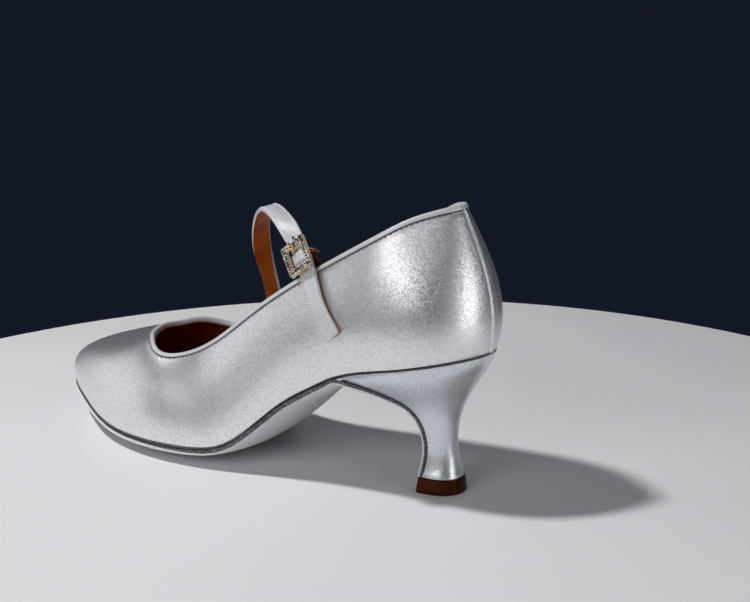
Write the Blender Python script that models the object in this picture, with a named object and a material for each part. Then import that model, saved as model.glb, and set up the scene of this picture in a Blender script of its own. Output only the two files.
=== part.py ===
"""Ballroom dance shoe, left foot, with an instep strap and a flared heel.

The frame: +X to the toe, +Y to the wearer's left (the shoe's outer side), +Z up.
The origin is on the floor, in the middle of the round back of the heel tip.
The shoe is laid out from the feather line, the closed curve where the upper meets the sole.
"""
import math

import bmesh
import bpy
import numpy as np

# Overall sizes
SOLE_LENGTH = 0.219  # feather line, from the back of the seat to the toe
SEAT_OVERHANG = 0.022  # how far the seat's back edge stands behind the origin
BALL_WIDTH = 0.074
SEAT_WIDTH = 0.052
HEEL_RISE = 0.051  # back of the seat above the ball, along the feather line
TOE_SPRING = 0.0085  # toe above the ball, along the feather line
BACK_HEIGHT = 0.057  # topline above the feather line, at the back
INSTEP_HEIGHT = 0.040  # topline above the feather line, around the throat

# Upper and its edge binding
UPPER_WALL = 0.002
SEAM_WIDTH = 0.0014  # raised back seam
SEAM_PROUD = 0.0005
BINDING_DEPTH = 0.0022
BINDING_PROUD = 0.0004
GAP = 0.00035  # between pieces that touch

# Sole and insole
OUTSOLE_THICKNESS = 0.0022
OUTSOLE_MARGIN = 0.0006  # sole edge beyond the feather line
SOLE_CROWN = 0.0046  # how far the sole's middle hangs below its edges
SOLE_FLAT = 0.0004  # height worn off the crown, which leaves a flat spot under the ball
INSOLE_THICKNESS = 0.0028

# Heel and its tip
BREAST_AHEAD = 0.0315  # where the sole leaves the upper, ahead of the origin
NECK_WIDTH = 0.0122
TIP_HEIGHT = 0.0062
TIP_DEPTH = 0.0148
TIP_WIDTH = 0.0184
TIP_CORNER = 0.0016  # radius of the tip's front corners
TIP_FLARE = 0.0008  # how far the tip widens towards the floor
BACK_FULLNESS = 0.8  # power of the half circle behind the neck: below 1 makes it fuller
SIDE_FULLNESS = 0.9
FLAP_LEAD = (1.5, 1.3, 1.15)  # places ahead of the breast, as shares of its own distance
CROWN_FADE = 3  # how fast the sole's crown dies out down the flap

# Strap, tab and buckle
STRAP_WIDTH = 0.0075
STRAP_THICKNESS = 0.0016
STRAP_EASE = 0.0009  # between the flat strap or tab and the round wall
STRAP_HOLE = 0.0023
STRAP_HOLE_STEP = 0.0068
STRAP_RISE = 0.042  # height of the strap's arch above the topline
STRAP_REACH = 0.0235  # half the width of the strap's arch, across the shoe
FREE_LENGTH = 0.029  # free end, below the topline on the outer side
SEWN_LENGTH = 0.012  # sewn end, below the topline on the inner side
TAB_LENGTH = 0.012  # tab, below the topline on the outer side
BUCKLE_AT = 0.0342  # middle of the buckle, from the strap's free end
HOLE_AHEAD = 0.0018  # hole that the prong is in, from the buckle's middle
HOLES_ABOVE = 1
HOLES_BELOW = 1
BUCKLE_SIZE = 0.0128
BUCKLE_BAND = 0.0027  # width of the frame's four sides
BUCKLE_DEPTH = 0.0018
BAR_DIAMETER = 0.0014
LEG_WIDTH = 0.0014
LEG_DEPTH = 0.0017
PRONG_DIAMETER = 0.0012
TAB_THICKNESS = 0.0010
TAB_SLOT = 0.0022
BUCKLE_LIFT = 0.0010  # frame above the strap, which bends under it

# The feather line's height along the shoe: shares of the sole's length, the heel's rise
# and the toe spring, then how much of the crown the sole's top and its underside follow
PROFILE_COLUMNS = ("along", "lift", "spring", "dish", "crown")
PROFILE = (
    (0.00, 1.000, 0.00, 0.0, 0.00),
    (0.06, 0.960, 0.00, 0.0, 0.00),
    (0.12, 0.910, 0.00, 0.0, 0.00),
    (0.18, 0.860, 0.00, 0.0, 0.00),
    (0.24, 0.780, 0.00, 0.0, 0.25),
    (0.30, 0.645, 0.00, 0.0, 0.30),
    (0.36, 0.485, 0.00, 0.1, 0.35),
    (0.42, 0.270, 0.00, 0.2, 0.45),
    (0.48, 0.085, 0.00, 0.5, 0.70),
    (0.54, 0.022, 0.00, 0.9, 0.95),
    (0.60, 0.008, 0.00, 1.0, 1.00),
    (0.70, 0.000, 0.00, 1.0, 1.00),
    (0.80, 0.000, 0.14, 0.9, 0.90),
    (0.90, 0.000, 0.58, 0.6, 0.60),
    (1.00, 0.000, 1.00, 0.3, 0.30),
)

# Pairs of ribs from the back to the toe. Each rib rises from the feather line to the
# topline as one curve with two handles, one at the belly and one at the shoulder.
# Places along the shoe are shares of its length. Other lengths are shares of half the seat
# width and of the back height in the quarters, of half the ball width and of the instep
# height in the vamp. The inner side's feather point is moved ahead by the skew.
RIB_COLUMNS = ("zone", "along", "outer", "inner", "skew", "top_along", "top_outer", "top_inner",
               "rise", "belly_out", "belly_up", "shoulder_out", "shoulder_down")
RIBS = (
    ("quarter", 0.000, 0.00, 0.00, 0.000, 0.053, 0.00, 0.00, 1.00, 0.20, 0.37, 0.35, 0.32),
    ("quarter", 0.050, 0.68, 0.70, 0.000, 0.106, 0.49, 0.51, 0.98, 0.30, 0.33, 0.36, 0.33),
    ("quarter", 0.120, 0.93, 0.96, 0.000, 0.158, 0.76, 0.78, 0.91, 0.31, 0.32, 0.27, 0.32),
    ("quarter", 0.250, 0.99, 0.93, 0.000, 0.292, 0.86, 0.88, 0.81, 0.27, 0.28, 0.23, 0.26),
    ("quarter", 0.388, 1.08, 0.81, 0.000, 0.427, 0.90, 0.90, 0.85, 0.23, 0.25, 0.23, 0.21),
    ("vamp", 0.504, 0.92, 0.73, 0.010, 0.547, 0.60, 0.60, 1.04, 0.14, 0.30, 0.22, 0.20),
    ("vamp", 0.631, 1.01, 0.98, 0.036, 0.644, 0.68, 0.62, 0.90, 0.14, 0.30, 0.25, 0.12),
    ("vamp", 0.766, 0.89, 0.97, 0.018, 0.700, 0.49, 0.39, 0.99, 0.13, 0.30, 0.35, 0.10),
    ("vamp", 0.898, 0.54, 0.68, 0.005, 0.730, 0.25, 0.18, 0.98, 0.15, 0.35, 0.54, 0.11),
    ("vamp", 1.000, 0.00, 0.05, 0.000, 0.743, 0.03, 0.00, 0.98, 0.17, 0.38, 0.70, 0.20),
)

# Heel sections from the seat down to the tip. The front edge lies on the sole's flap: its
# place ahead of the origin is a share of the breast's, its height of the breast's height.
# The back edge takes shares of the seat's overhang and of the seat's height. The half width
# runs from the neck's, at 0, to the seat's, at 1; the last column rounds the seat's outline
# into the neck's.
HEEL_COLUMNS = ("ahead", "up", "behind", "back_up", "spread", "rounding")
HEEL = (
    (1.000, 1.000, 1.00, 1.000, 1.00, 0.0),
    (0.870, 0.985, 0.96, 0.950, 0.93, 0.1),
    (0.620, 0.930, 0.85, 0.875, 0.76, 0.3),
    (0.400, 0.850, 0.70, 0.785, 0.52, 0.5),
    (0.235, 0.755, 0.54, 0.690, 0.29, 0.7),
    (0.140, 0.615, 0.39, 0.570, 0.10, 0.9),
    (0.095, 0.470, 0.31, 0.440, 0.02, 1.0),
    (0.090, 0.390, 0.29, 0.337, 0.00, 1.0),
    (0.099, 0.255, 0.33, 0.210, 0.04, 1.0),
    (0.115, 0.140, 0.39, 0.110, 0.13, 1.0),
)

# Where the strap meets the topline, as a share of the way round the shoe, and how much
# further back its free end lies
FREE_TURN = 0.137
FREE_SLANT = -0.019
SEWN_TURN = 0.750

# The strap's arch between the two toplines: shares of the way between them, of the reach
# and of the rise, and the slope of its band, in degrees nose down
ARCH_COLUMNS = ("along", "out", "up", "slope")
ARCH = (
    (0.17, 0.85, 0.39, 27),
    (0.36, 0.62, 0.69, -27),
    (0.61, 0.32, 0.98, -2),
    (0.89, -0.14, 0.86, 26),
    (1.00, -0.72, 0.23, 23),
)

# How finely the curved pieces are divided
UPPER_STATIONS = 84
UPPER_ROWS = 10
RIB_SAMPLES = 81
OUTLINE_SAMPLES = 720
SOLE_ROWS = 40
LEAD_ROWS = 5
SOLE_ACROSS = 8
HEEL_STATIONS = 33
HEEL_STEPS = 20
STRAP_STATIONS = 44
CORNER_STATIONS = 4
ROD_SIDES = 10
HOLE_SIDES = 12
PRONG_STATIONS = 26
HOOK_STATIONS = 9
TAB_STATIONS = 22
EYE_STATIONS = 6
NUDGE = 0.0005  # share of a curve's whole run over which its slope is taken
SMOOTH_ANGLE = 40


def spline(knots, values, at, period=None):
    """Cubic spline through the values at the knots, natural or periodic."""
    knots = np.asarray(knots, float)
    values = np.asarray(values, float)
    flat = values.ndim == 1
    if flat:
        values = values[:, None]
    at = np.asarray(at, float)
    if period is not None:
        at = (at - knots[0]) % period + knots[0]
        knots = np.append(knots, knots[0] + period)
        values = np.vstack([values, values[:1]])
    count = len(knots)
    step = np.diff(knots)
    slope = np.diff(values, axis=0) / step[:, None]
    matrix = np.eye(count)
    right = np.zeros_like(values)
    for i in range(1, count - 1):
        matrix[i, i - 1:i + 2] = (step[i - 1], 2 * (step[i - 1] + step[i]), step[i])
        right[i] = 6 * (slope[i] - slope[i - 1])
    if period is not None:
        matrix[0, 0], matrix[0, 1] = 2 * (step[-1] + step[0]), step[0]
        matrix[0, -2] += step[-1]
        right[0] = 6 * (slope[0] - slope[-1])
        matrix[-1, 0] = -1
    bend = np.linalg.solve(matrix, right)
    cell = np.clip(np.searchsorted(knots, at, side="right") - 1, 0, count - 2)
    width = step[cell][..., None]
    after = (knots[cell + 1][..., None] - at[..., None]) / width
    before = 1 - after
    curve = after * values[cell] + before * values[cell + 1]
    sway = (after ** 3 - after) * bend[cell] + (before ** 3 - before) * bend[cell + 1]
    curve = curve + sway * width ** 2 / 6
    return curve[..., 0] if flat else curve


def column(table, columns, name):
    """One named column of a table, as numbers."""
    return np.array([row[columns.index(name)] for row in table], float)


def unit(vectors):
    """The same vectors with a length of one."""
    return vectors / np.linalg.norm(vectors, axis=-1, keepdims=True)


def along_x(share):
    """Place on the X axis of a share of the sole's length, from the back of the seat."""
    return share * SOLE_LENGTH - SEAT_OVERHANG


def profile(name, x):
    """A named column of the profile table at places along the shoe."""
    knots = along_x(column(PROFILE, PROFILE_COLUMNS, "along"))
    return spline(knots, column(PROFILE, PROFILE_COLUMNS, name), x)


def feather_height(x):
    """Height of the feather line above the floor."""
    ball = OUTSOLE_THICKNESS + SOLE_CROWN - SOLE_FLAT
    return ball + HEEL_RISE * profile("lift", x) + TOE_SPRING * profile("spring", x)


def sag(name, x):
    """How far the middle of the sole's top or underside hangs below its edge."""
    return SOLE_CROWN * np.clip(profile(name, x), 0, None)


def rib_points():
    """Feather, belly, shoulder and top points of every rib, round the shoe from the back."""
    rows = []
    names = [dict(zip(RIB_COLUMNS, row)) for row in RIBS]
    for side, ribs in ((1, names), (-1, names[-2:0:-1])):
        for rib in ribs:
            outer = side > 0
            quarter = rib["zone"] == "quarter"
            half = (SEAT_WIDTH if quarter else BALL_WIDTH) / 2
            height = BACK_HEIGHT if quarter else INSTEP_HEIGHT
            rows.append((
                along_x(rib["along"] + (0 if outer else rib["skew"])),
                side * half * (rib["outer"] if outer else rib["inner"]),
                along_x(rib["top_along"]),
                side * half * (rib["top_outer"] if outer else rib["top_inner"]),
                height * rib["rise"],
                half * rib["belly_out"],
                height * rib["belly_up"],
                half * rib["shoulder_out"],
                height * rib["shoulder_down"],
            ))
    return np.array(rows).T


def control_loops():
    """Spline knots, their period, and the four control points of each rib."""
    x, y, top_x, top_y, rise, belly_out, belly_up, shoulder_out, shoulder_down = rib_points()
    plan = np.column_stack([x, y])
    step = np.linalg.norm(np.roll(plan, -1, 0) - plan, axis=1)
    knots = np.concatenate([[0], np.cumsum(step)[:-1]])
    period = step.sum()
    small = period * NUDGE
    travel = spline(knots, plan, knots + small, period) - spline(knots, plan, knots - small, period)
    outward = unit(np.column_stack([-travel[:, 1], travel[:, 0], 0 * x]))
    up = np.array([0, 0, 1.0])
    feather = np.column_stack([x, y, feather_height(x)])
    top = np.column_stack([top_x, top_y, feather_height(top_x) + rise])
    belly = feather + outward * belly_out[:, None] + up * belly_up[:, None]
    shoulder = top + outward * shoulder_out[:, None] - up * shoulder_down[:, None]
    return knots, period, (feather, belly, shoulder, top)


def upper_surface(turn, rise):
    """Points of the upper's outer face: turn runs round the shoe, rise up each rib."""
    knots, period, loops = control_loops()
    feather, belly, shoulder, top = (spline(knots, loop, turn * period, period) for loop in loops)
    feather[..., 2] = feather_height(feather[..., 0]) + GAP
    t = rise[..., None]
    left = 1 - t
    return left ** 3 * feather + 3 * left ** 2 * t * belly + 3 * left * t ** 2 * shoulder + t ** 3 * top


def upper_frame(turn, rise):
    """Points of the upper's outer face, with their outward normals."""
    small = NUDGE
    point = upper_surface(turn, rise)
    round_shoe = upper_surface(turn + small, rise) - upper_surface(turn - small, rise)
    higher, lower = np.minimum(rise + small, 1), np.maximum(rise - small, 0)
    up_rib = upper_surface(turn, higher) - upper_surface(turn, lower)
    return point, unit(np.cross(up_rib, round_shoe))


def upper_grid(turn, heights):
    """Points and normals at lengths measured down each rib from the topline.

    Heights are functions of the rib's whole length, so that rows stay parallel to an edge.
    """
    fine = np.linspace(0, 1, RIB_SAMPLES)
    turns, rises = np.meshgrid(turn, fine)
    ribs = upper_surface(turns, rises)
    run = np.linalg.norm(np.diff(ribs, axis=0), axis=2)
    length = np.vstack([0 * turn, np.cumsum(run, axis=0)])
    rows = []
    for height in heights:
        wanted = height(length[-1])
        rows.append([np.interp(wanted[i], length[:, i], fine) for i in range(len(turn))])
    rises = np.array(rows)
    return upper_frame(np.broadcast_to(turn, rises.shape), rises)


def turns_with_seam():
    """Stations round the shoe, with four more for the back seam, and where its ridge ends."""
    _, period, _ = control_loops()
    even = np.arange(UPPER_STATIONS) / UPPER_STATIONS
    edge = SEAM_WIDTH / 2 / period
    foot = edge + SEAM_PROUD / period
    return np.sort(np.concatenate([even, [edge, foot, 1 - edge, 1 - foot]])), (edge + foot) / 2


def seam_step(turn, ridge_end):
    """How proud the outer face stands at each station: the back seam's ridge."""
    away = np.minimum(turn, 1 - turn)
    return np.where(away < ridge_end, SEAM_PROUD, 0.0)


def mesh_object(name, points, faces, look):
    """A new object of the given points and faces, smooth but for its edges."""
    mesh = bpy.data.meshes.new(name)
    mesh.from_pydata([tuple(p) for p in points], [], faces)
    work = bmesh.new()
    work.from_mesh(mesh)
    bmesh.ops.recalc_face_normals(work, faces=work.faces)
    bmesh.ops.triangulate(work, faces=[f for f in work.faces if len(f.verts) > 3])
    work.to_mesh(mesh)
    work.free()
    mesh.shade_smooth()
    mesh.set_sharp_from_angle(angle=math.radians(SMOOTH_ANGLE))
    mesh.materials.append(look)
    piece = bpy.data.objects.new(name, mesh)
    bpy.context.collection.objects.link(piece)
    return piece


def loft(name, rings, look, closed=False):
    """A solid through rings of equal count. Open ends are closed straight across the ring."""
    rings = np.asarray(rings)
    count, size = rings.shape[:2]
    faces = []
    for i in range(count if closed else count - 1):
        near, far = i * size, (i + 1) % count * size
        for j in range(size):
            k = (j + 1) % size
            faces.append((near + j, near + k, far + k, far + j))
    if not closed:
        for start in (0, (count - 1) * size):
            for j in range(size // 2 - 1):
                faces.append((start + j, start + j + 1, start + size - 2 - j, start + size - 1 - j))
            if size % 2:
                middle = start + size // 2
                faces.append((middle - 1, middle, middle + 1))
    return mesh_object(name, rings.reshape(-1, 3), faces, look)


def material(name, colour, roughness, metallic=0.0):
    """A plain material."""
    look = bpy.data.materials.new(name)
    look.use_nodes = True
    shader = look.node_tree.nodes["Principled BSDF"]
    shader.inputs["Base Color"].default_value = (*colour, 1)
    shader.inputs["Roughness"].default_value = roughness
    shader.inputs["Metallic"].default_value = metallic
    return look


def build_upper(look):
    """The hollow upper: one wall from the sole to just under the binding."""
    turn, ridge_end = turns_with_seam()
    steps = np.linspace(0, 1, UPPER_ROWS)
    heights = [lambda length, s=s: s * (length - BINDING_DEPTH - GAP) for s in steps]
    outer, normal = upper_grid(turn, heights)
    inner = outer - normal * UPPER_WALL
    level = normal[0] * (1, 1, 0)
    reach = UPPER_WALL / np.linalg.norm(level, axis=1, keepdims=True)
    inner[0] = outer[0] - unit(level) * reach
    proud = seam_step(turn, ridge_end)[None, :, None]
    outer = outer + normal * proud
    rings = np.concatenate([outer, inner[::-1]]).transpose(1, 0, 2)
    return loft("upper", rings, look, closed=True)


def build_binding(look):
    """The folded edge round the topline, proud of the upper on its outer side."""
    turn, _ = turns_with_seam()
    rows = (BINDING_DEPTH, BINDING_DEPTH / 2, BINDING_PROUD, 0)
    heights = [lambda length, r=r: length - r for r in rows]
    point, normal = upper_grid(turn, heights)
    low, middle, high, top = point
    n_low, n_middle, n_high, n_top = normal
    proud = BINDING_PROUD
    rings = np.stack([
        low + n_low * proud,
        middle + n_middle * proud,
        high + n_high * proud,
        top,
        top - n_top * UPPER_WALL,
        middle - n_middle * (UPPER_WALL + proud / 2),
        low - n_low * UPPER_WALL,
    ], axis=1)
    return loft("topline_binding", rings, look, closed=True)


def feather_outline(inset):
    """Closed plan curve at an inset from the feather line, from the back round the outer side."""
    turn = np.arange(OUTLINE_SAMPLES) / OUTLINE_SAMPLES
    point, normal = upper_frame(turn, 0 * turn)
    level = unit(normal[:, :2])
    return point[:, :2] - level * inset


def halves_at(outline, x):
    """Where the outline's outer and inner sides lie at places along the shoe."""
    toe = int(outline[:, 0].argmax())
    back = int(outline[:, 0].argmin())
    turned = np.roll(outline, -back, axis=0)
    toe = (toe - back) % len(outline)
    outer = turned[:toe + 1]
    inner = np.vstack([turned[toe:], turned[:1]])[::-1]
    return np.interp(x, outer[:, 0], outer[:, 1]), np.interp(x, inner[:, 0], inner[:, 1])


def rounded_steps(start, end, count, round_start):
    """Places from start to end, closer together towards a round end."""
    turn = np.linspace(0, 1, count)
    both = (1 - np.cos(math.pi * turn)) / 2
    late = np.sin(math.pi / 2 * turn)
    return start + (end - start) * (both if round_start else late)


def slab(name, rows, look):
    """A sheet of even rows across the shoe: each row gives its upper and lower points."""
    return loft(name, [np.vstack([above, below[::-1]]) for above, below in rows], look)


def across(outer, inner):
    """Places from the inner edge to the outer one, and how far each is from the edges."""
    share = np.linspace(-1, 1, SOLE_ACROSS + 1)
    middle = (outer + inner) / 2
    half = (outer - inner) / 2
    return middle + half * share, 1 - share ** 2


def build_insole(look):
    """The insole and its sock: it fills the bottom of the upper, above the sole and the seat."""
    outline = feather_outline(UPPER_WALL + 2 * GAP)
    back, toe = outline[:, 0].min() + GAP, outline[:, 0].max() - GAP
    rows = []
    for x in rounded_steps(back, toe, SOLE_ROWS, True):
        outer, inner = halves_at(outline, x)
        y, middle = across(outer, inner)
        bottom = feather_height(x) + 2 * GAP - sag("dish", x) * middle
        below = np.column_stack([x + 0 * y, y, bottom])
        rows.append((below + (0, 0, INSOLE_THICKNESS), below))
    return slab("insole", rows, look)


def flap_path():
    """Side view of the sole's upper face where it leaves the upper and runs down the heel.

    Gives the lengths along it, its points, and how many of them lie ahead of the breast.
    """
    ahead = column(HEEL, HEEL_COLUMNS, "ahead") * BREAST_AHEAD
    up = column(HEEL, HEEL_COLUMNS, "up") * feather_height(BREAST_AHEAD)
    lead = BREAST_AHEAD * np.array(FLAP_LEAD)
    points = np.vstack([np.column_stack([lead, feather_height(lead)]), np.column_stack([ahead, up])])
    step = np.linalg.norm(np.diff(points, axis=0), axis=1)
    knots = np.concatenate([[0], np.cumsum(step)])
    return knots, points, len(lead)


def heel_rows(count):
    """Heel sections at even steps: front and back points, half width and rounding."""
    knots, points, lead = flap_path()
    run = knots[lead:]
    at = np.linspace(run[0], run[-1], count)
    front = spline(knots, points, at)
    travel = unit(spline(knots, points, at + GAP) - spline(knots, points, at - GAP))
    ahead = np.column_stack([-travel[:, 1], travel[:, 0]])
    seat = feather_height(along_x(0.0))
    behind = -SEAT_OVERHANG * spline(run, column(HEEL, HEEL_COLUMNS, "behind"), at)
    back_up = seat * spline(run, column(HEEL, HEEL_COLUMNS, "back_up"), at)
    spread = spline(run, column(HEEL, HEEL_COLUMNS, "spread"), at)
    outer, inner = halves_at(feather_outline(0), BREAST_AHEAD)
    neck = NECK_WIDTH / 2
    outer = neck + (outer - neck) * spread
    inner = -neck + (inner + neck) * spread
    rounding = spline(run, column(HEEL, HEEL_COLUMNS, "rounding"), at)
    return front, np.column_stack([behind, back_up]), outer, inner, np.clip(rounding, 0, 1), ahead


def build_outsole(look):
    """The sole: forepart, shank and the flap that covers the front of the heel."""
    outline = feather_outline(-OUTSOLE_MARGIN)
    toe = outline[:, 0].max() - GAP
    knots, points, lead = flap_path()
    start = points[0, 0]
    forepart = rounded_steps(start, toe, SOLE_ROWS, False)[::-1][:-1]
    run = np.concatenate([np.linspace(knots[0], knots[lead], LEAD_ROWS)[:-1],
                          np.linspace(knots[lead], knots[-1], HEEL_STEPS)])
    flap = spline(knots, points, run)
    path = np.vstack([np.column_stack([forepart, feather_height(forepart)]), flap])
    travel = unit(np.gradient(path, axis=0))
    down = np.column_stack([-travel[:, 1], travel[:, 0]])
    _, _, heel_outer, heel_inner, _, _ = heel_rows(HEEL_STEPS)
    heel_run = np.linspace(knots[lead], knots[-1], HEEL_STEPS)
    rows = []
    for i, (x, z) in enumerate(path):
        flap_at = knots[0] if i < len(forepart) else run[i - len(forepart)]
        if flap_at < knots[lead]:
            outer, inner = halves_at(outline, x)
            dish, crown = sag("dish", x), sag("crown", x)
        else:
            outer = np.interp(flap_at, heel_run, heel_outer) + OUTSOLE_MARGIN
            inner = np.interp(flap_at, heel_run, heel_inner) - OUTSOLE_MARGIN
            fade = (knots[-1] - flap_at) / (knots[-1] - knots[lead])
            dish, crown = 0, sag("crown", BREAST_AHEAD) * fade ** CROWN_FADE
        y, middle = across(outer, inner)
        under = np.array([down[i, 0], 0, down[i, 1]])
        line = np.column_stack([x + 0 * y, y, z + 0 * y])
        above = line + under * (dish * middle)[:, None]
        below = line + under * (OUTSOLE_THICKNESS + crown * middle)[:, None]
        below[:, 2] = np.maximum(below[:, 2], 0)
        rows.append((above, below))
    return slab("outsole", rows, look)


def half_round(count):
    """A D-shaped outline from front corner to front corner: depth from the front, and width."""
    turn = np.linspace(-math.pi / 2, math.pi / 2, count)
    return np.cos(turn) ** BACK_FULLNESS, -np.sign(turn) * np.abs(np.sin(turn)) ** SIDE_FULLNESS


def seat_outline(count):
    """The feather line round the seat, from the breast's outer end to its inner end."""
    outline = feather_outline(0)
    back = int(outline[:, 0].argmin())
    turned = np.roll(outline, len(outline) // 2 - back, axis=0)
    seat = turned[turned[:, 0] < BREAST_AHEAD - GAP][::-1]
    step = np.linalg.norm(np.diff(seat, axis=0), axis=1)
    length = np.concatenate([[0], np.cumsum(step)])
    at = np.linspace(0, length[-1], count)
    return np.column_stack([np.interp(at, length, seat[:, i]) for i in (0, 1)])


def build_heel(look):
    """The covered heel, from the seat to its tip: it narrows to a neck and flares again."""
    front, back, outer, inner, rounding, ahead = heel_rows(HEEL_STEPS)
    front = front - ahead * GAP
    seat = seat_outline(HEEL_STATIONS)
    seat_depth = (BREAST_AHEAD - seat[:, 0]) / (BREAST_AHEAD - seat[:, 0].min())
    widest = np.abs(seat[:, 1]).max()
    seat_width = seat[:, 1] / widest
    depth, width = half_round(HEEL_STATIONS)
    rings = []
    for i in range(HEEL_STEPS):
        blend = rounding[i]
        d = seat_depth + (depth - seat_depth) * blend
        w = seat_width + (width - seat_width) * blend
        half = np.where(w > 0, outer[i], -inner[i])
        x = front[i, 0] + (back[i, 0] - front[i, 0]) * d
        z = front[i, 1] + (back[i, 1] - front[i, 1]) * d
        if i == 0:
            x, z = seat[:, 0], feather_height(seat[:, 0])
            y = seat[:, 1]
        else:
            y = w * half
        rings.append(np.column_stack([x, y, z]))
    return loft("heel", rings, look)


def tip_outline(widen):
    """The tip's D-shaped outline with round corners, widened all round by the given length."""
    depth, width = half_round(HEEL_STATIONS)
    front = heel_rows(2)[0]
    ahead = front[-1, 0] + OUTSOLE_THICKNESS + widen
    behind = front[-1, 0] + OUTSOLE_THICKNESS - TIP_DEPTH - widen
    half = TIP_WIDTH / 2 + widen
    outline = np.column_stack([ahead + (behind - ahead) * depth, half * width])
    turn = np.linspace(0, math.pi / 2, CORNER_STATIONS)
    corner = np.column_stack([ahead - TIP_CORNER * (1 - np.cos(turn)), half - TIP_CORNER * (1 - np.sin(turn))])
    side = outline[outline[:, 0] < ahead - TIP_CORNER - GAP]
    return np.vstack([corner, side, corner[::-1] * (1, -1)])


def build_tip(look):
    """The hard tip under the heel and the end of the flap, wider at the floor."""
    rings = []
    for height, widen in ((TIP_HEIGHT, 0), (TIP_HEIGHT / 2, TIP_FLARE / 2), (0, TIP_FLARE)):
        outline = tip_outline(widen)
        rings.append(np.column_stack([outline, np.full(len(outline), height)]))
    return loft("heel_tip", rings, look)


def wall_point(turn, down, outward):
    """A point beside the upper's wall: down from the topline, and outward from the outer face."""
    point, normal = upper_grid(np.array([turn]), [lambda length: length - down])
    return point[0, 0] + normal[0, 0] * outward, normal[0, 0]


def strap_knots():
    """Middle points and outward normals along the strap, from its free end to its sewn end."""
    over = BINDING_PROUD + STRAP_EASE + STRAP_THICKNESS / 2
    under = -UPPER_WALL - BINDING_PROUD / 2 - STRAP_EASE - STRAP_THICKNESS / 2
    points, normals = [], []
    for turn, down in ((FREE_TURN + FREE_SLANT, FREE_LENGTH), (FREE_TURN + FREE_SLANT / 2, FREE_LENGTH / 2),
                       (FREE_TURN, 0)):
        point, normal = wall_point(turn, down, over)
        points.append(point)
        normals.append(normal)
    outer_top, inner_top = points[-1], wall_point(SEWN_TURN, 0, under)[0]
    for row in ARCH:
        place = dict(zip(ARCH_COLUMNS, row))
        base = outer_top + (inner_top - outer_top) * place["along"]
        point = base * (1, 0, 1) + (0, place["out"] * STRAP_REACH, place["up"] * STRAP_RISE)
        away = point - base * (1, 0, 1)
        slope = math.radians(place["slope"])
        axis = np.array([math.cos(slope), 0, -math.sin(slope)])
        points.append(point)
        normals.append(unit(away - axis * (away @ axis)))
    for down in (0, SEWN_LENGTH / 2, SEWN_LENGTH):
        point, normal = wall_point(SEWN_TURN, down, under)
        points.append(point)
        normals.append(normal)
    return np.array(points), np.array(normals)


def strap_frames(at):
    """Middle, across, along and outward vectors at lengths along the strap."""
    points, normals = strap_knots()
    step = np.linalg.norm(np.diff(points, axis=0), axis=1)
    knots = np.concatenate([[0], np.cumsum(step)])
    at = np.atleast_1d(at)
    small = knots[-1] * NUDGE
    middle = spline(knots, points, at)
    along = unit(spline(knots, points, at - small) - spline(knots, points, at + small))
    normal = spline(knots, normals, at)
    normal = unit(normal - along * (normal * along).sum(-1, keepdims=True))
    return middle, np.cross(along, normal), along, normal


def strap_length():
    """Length of the strap's middle line."""
    points, _ = strap_knots()
    return np.linalg.norm(np.diff(points, axis=0), axis=1).sum()


def cut(piece, cutter):
    """Takes the cutter's shape out of the piece."""
    change = piece.modifiers.new("cut", "BOOLEAN")
    change.operation = "DIFFERENCE"
    change.object = cutter
    cutter.hide_render = True
    cutter.display_type = "WIRE"


def add(piece, other):
    """Joins another shape to the piece."""
    change = piece.modifiers.new("join", "BOOLEAN")
    change.operation = "UNION"
    change.object = other
    other.hide_render = True
    other.display_type = "WIRE"


def rod(name, path, radius, look, side, sides=ROD_SIDES):
    """A round rod along a path in the plane across the side vector."""
    path = np.asarray(path)
    travel = unit(np.gradient(path, axis=0))
    lift = unit(np.cross(travel, side))
    rings = []
    for point, up in zip(path, lift):
        turn = np.arange(sides) * 2 * math.pi / sides
        rings.append(point + radius * (np.cos(turn)[:, None] * up + np.sin(turn)[:, None] * side))
    return loft(name, rings, look)


def build_strap(look):
    """The instep strap, with its row of punched holes."""
    at = np.linspace(0, strap_length(), STRAP_STATIONS)
    middle, side, _, normal = strap_frames(at)
    w, t = STRAP_WIDTH / 2, STRAP_THICKNESS / 2
    corners = ((-w, -t), (w, -t), (w, t), (-w, t))
    rings = np.stack([middle + side * a + normal * b for a, b in corners], axis=1)
    strap = loft("strap", rings, look)
    holes = BUCKLE_AT + HOLE_AHEAD + STRAP_HOLE_STEP * np.arange(-HOLES_BELOW, HOLES_ABOVE + 1)
    for place in holes:
        (point,), (across_strap,), _, (out,) = strap_frames(place)
        pin = [point - out * STRAP_THICKNESS, point + out * STRAP_THICKNESS]
        cut(strap, rod("strap_hole_cutter", pin, STRAP_HOLE / 2, look, across_strap, HOLE_SIDES))
    return strap


def buckle_frame_axes():
    """Middle of the strap under the buckle, and the vectors across, along and out of it."""
    return [value[0] for value in strap_frames(BUCKLE_AT)]


def bar_depth():
    """How far the buckle's bar lies below the strap's middle: the tab passes between them."""
    return STRAP_THICKNESS / 2 + 2 * GAP + TAB_THICKNESS + BAR_DIAMETER / 2 + BUCKLE_LIFT / 4


def box(name, middle, axes, sizes, look):
    """A block with its middle, its three directions and its sizes along them."""
    a, b, c = (axis * size / 2 for axis, size in zip(axes, sizes))
    corners = (-a - b, a - b, a + b, -a + b)
    return loft(name, [[middle + corner + end for corner in corners] for end in (-c, c)], look)


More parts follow.
